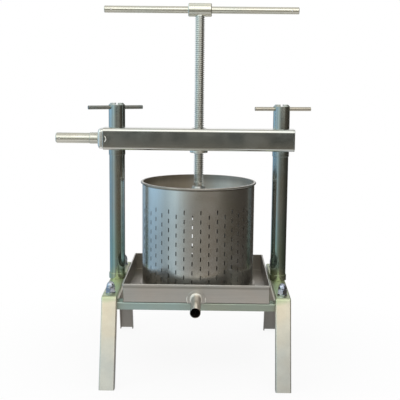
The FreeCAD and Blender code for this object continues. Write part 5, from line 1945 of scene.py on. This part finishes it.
@dataclass
class Studio:
    """Camera, floor, surroundings and lamps.

    The camera's place and the floor's radius and level are in millimetres, the camera's angles
    in degrees and its focal length in pixels of a square image. The floor's two ranges are
    distances from its middle in metres: over one a painted shadow of the press darkens its
    reflection less and less, and over the other its shadow fades. The ceiling's ranges are the Y
    and the Z of a direction.
    """

    eye: Point = (26.99, -1787.42, 606.48)
    pitch: float = 8.59
    yaw: float = -0.75
    roll: float = 0.58
    focal: float = 872.64
    image: float = 400
    sensor: float = 36
    floor_radius: float = 700
    floor_level: float = -0.2
    paper: tuple[float, ...] = (0.9, 0.9, 0.9, 1)
    reflected_shadow_eases: Range = (0.2, 0.46)
    reflected_shadow_deepest: float = 0.72
    reflected_shadow_faintest: float = 0.22
    shadow_fades: Range = (0.3, 0.62)
    least_glow: float = 0.9
    under_walls: tuple[float, ...] = (0.36, 0.36, 0.33, 1)
    walls: tuple[Wall, ...] = (LOWER_WALL, DIM_WALL, UPPER_WALL)
    ceiling_front: tuple[float, ...] = (0.35, 0.35, 0.33, 1)
    ceiling_middle: tuple[float, ...] = (0.9, 0.9, 0.86, 1)
    ceiling_back: tuple[float, ...] = (0.5, 0.5, 0.47, 1)
    ceiling_brightens: Range = (-0.5, -0.05)
    ceiling_dims: Range = (0.1, 0.6)
    ceiling_height: Range = (0.5, 0.75)
    daylight: tuple[float, ...] = (0.8, 0.8, 0.8, 1)
    white: tuple[float, ...] = (1, 1, 1, 1)
    aim: Point = (0, 0, 0.35)
    lamps: tuple[Lamp, ...] = (
        Lamp("left_window", (-1.9, -1.6, 1.7), (1.3, 1.5), 9, (0.94, 0.98, 1.0)),
        Lamp("top_panel", (0.1, -1.6, 2.0), (1.8, 1.4), 9, (1.0, 0.99, 0.97)),
    )

    def camera(self) -> None:
        """Place the camera: its axes follow from yaw, pitch and roll, its lens from the pixels."""
        pitch, yaw, roll = (math.radians(angle) for angle in (self.pitch, self.yaw, self.roll))
        level = Vector((math.cos(yaw), -math.sin(yaw), 0))
        across, along = math.sin(yaw) * math.cos(pitch), math.cos(yaw) * math.cos(pitch)
        ahead = Vector((across, along, -math.sin(pitch)))
        above = level.cross(ahead)
        right = math.cos(roll) * level + math.sin(roll) * above
        up = -math.sin(roll) * level + math.cos(roll) * above
        data = bpy.data.cameras.new("studio_camera")
        data.sensor_fit = "HORIZONTAL"
        data.sensor_width = self.sensor
        data.lens = self.focal * self.sensor / self.image
        data.clip_end = 50
        camera = bpy.data.objects.new("studio_camera", data)
        turn = Matrix((right, up, -ahead)).transposed().to_4x4()
        camera.matrix_world = Matrix.Translation(Vector(self.eye) * MM) @ turn
        bpy.context.scene.collection.objects.link(camera)
        bpy.context.scene.camera = camera

    def floor(self) -> None:
        """Pale floor: white to the camera, with a soft shadow of the press left in it, and a painted
        shadow of the press in its reflection.
        """
        steps, radius = 96, self.floor_radius
        angle = full_turn(steps)
        level = np.full(steps, self.floor_level)
        ring = np.stack([radius * np.cos(angle), radius * np.sin(angle), level], -1)
        floor = Surface().cap(ring).made("studio_floor")
        made = bpy.data.materials.new("studio_white")
        made.use_nodes = True
        nodes = Nodes(made.node_tree)
        nodes.tree.nodes.clear()
        rays = nodes.put("ShaderNodeLightPath").outputs
        glossy = rays["Is Glossy Ray"]
        seen = nodes.maths("MAXIMUM", rays["Is Camera Ray"], rays["Is Transmission Ray"])
        place = nodes.put("ShaderNodeTexCoord").outputs["Object"]
        away = nodes.vector("LENGTH", {0: place}, "Value")
        # Painted shadow: near the press, metal sees the floor darker.
        reflected_shadow = nodes.ranged(away, *self.reflected_shadow_eases, self.reflected_shadow_deepest, self.reflected_shadow_faintest)
        strength = nodes.maths("SUBTRACT", 1.0, nodes.maths("MULTIPLY", glossy, reflected_shadow))
        glowing = nodes.ranged(away, *self.shadow_fades, self.least_glow, 1.0)
        share = nodes.maths("MULTIPLY", nodes.maths("MAXIMUM", seen, glossy), glowing)
        paper = nodes.put("ShaderNodeBsdfDiffuse", {"Color": self.paper})
        glow = nodes.put("ShaderNodeEmission", {"Color": self.white, "Strength": strength})
        wires = {0: share, 1: paper.outputs[0], 2: glow.outputs[0]}
        mix = nodes.put("ShaderNodeMixShader", wires)
        nodes.put("ShaderNodeOutputMaterial", {"Surface": mix.outputs[0]})
        floor.data.materials.append(made)

    def surroundings(self) -> None:
        """White background for the camera, and for metal a studio.

        The studio is bright above, behind and on the left, and dim in front. Each wall takes
        over from the one below it as a direction rises, and the ceiling from the last.
        """
        world = bpy.data.worlds.new("studio_world")
        bpy.context.scene.world = world
        world.use_nodes = True
        nodes = Nodes(world.node_tree)
        nodes.tree.nodes.clear()
        place = nodes.put("ShaderNodeTexCoord").outputs["Generated"]
        x, y, z = nodes.put("ShaderNodeSeparateXYZ", {0: place}).outputs
        turn = nodes.maths("ARCTAN2", x, nodes.maths("MULTIPLY", y, -1.0))
        share = nodes.maths("ADD", nodes.maths("DIVIDE", turn, math.tau), 0.5)
        room = self.under_walls
        for wall in self.walls:
            stops = tuple((degrees / 360 + 0.5, colour) for degrees, colour in wall.stops)
            room = nodes.mixed(nodes.ranged(z, wall.starts, wall.full), room, nodes.ramp(share, stops))
        behind = nodes.ranged(y, *self.ceiling_brightens)
        ceiling = nodes.mixed(behind, self.ceiling_front, self.ceiling_middle)
        ceiling = nodes.mixed(nodes.ranged(y, *self.ceiling_dims), ceiling, self.ceiling_back)
        room = nodes.mixed(nodes.ranged(z, *self.ceiling_height), room, ceiling)
        rays = nodes.put("ShaderNodeLightPath").outputs
        seen = nodes.maths("MAXIMUM", rays["Is Camera Ray"], rays["Is Transmission Ray"])
        colour = nodes.mixed(rays["Is Glossy Ray"], self.daylight, room)
        colour = nodes.mixed(seen, colour, self.white)
        sky = nodes.put("ShaderNodeBackground", {"Color": colour, "Strength": 1.0})
        nodes.put("ShaderNodeOutputWorld", {"Surface": sky.outputs[0]})

    def build(self) -> None:
        """Make the camera, floor, surroundings and lamps."""
        self.camera()
        self.floor()
        self.surroundings()
        for lamp in self.lamps:
            lamp.hang(Vector(self.aim))
        bpy.context.scene.view_settings.view_transform = "Standard"


def main() -> None:
    """Load the frame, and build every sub-assembly in order."""
    logging.basicConfig(level=logging.INFO, format="%(name)s: %(message)s")
    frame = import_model()
    shop = Workshop(frame["nodes"], Effects())
    parts = (
        SideFrames(), RailFasteners(), Posts(), Beam(), Grip(), Clamps(), PressScrew(),
        PressHead(), Basket(), Tray(),
    )
    for part in parts:
        part.build(shop)
    Studio().build()
    log.info("%d pieces built", len(shop.made))


if __name__ == "__main__":
    main()
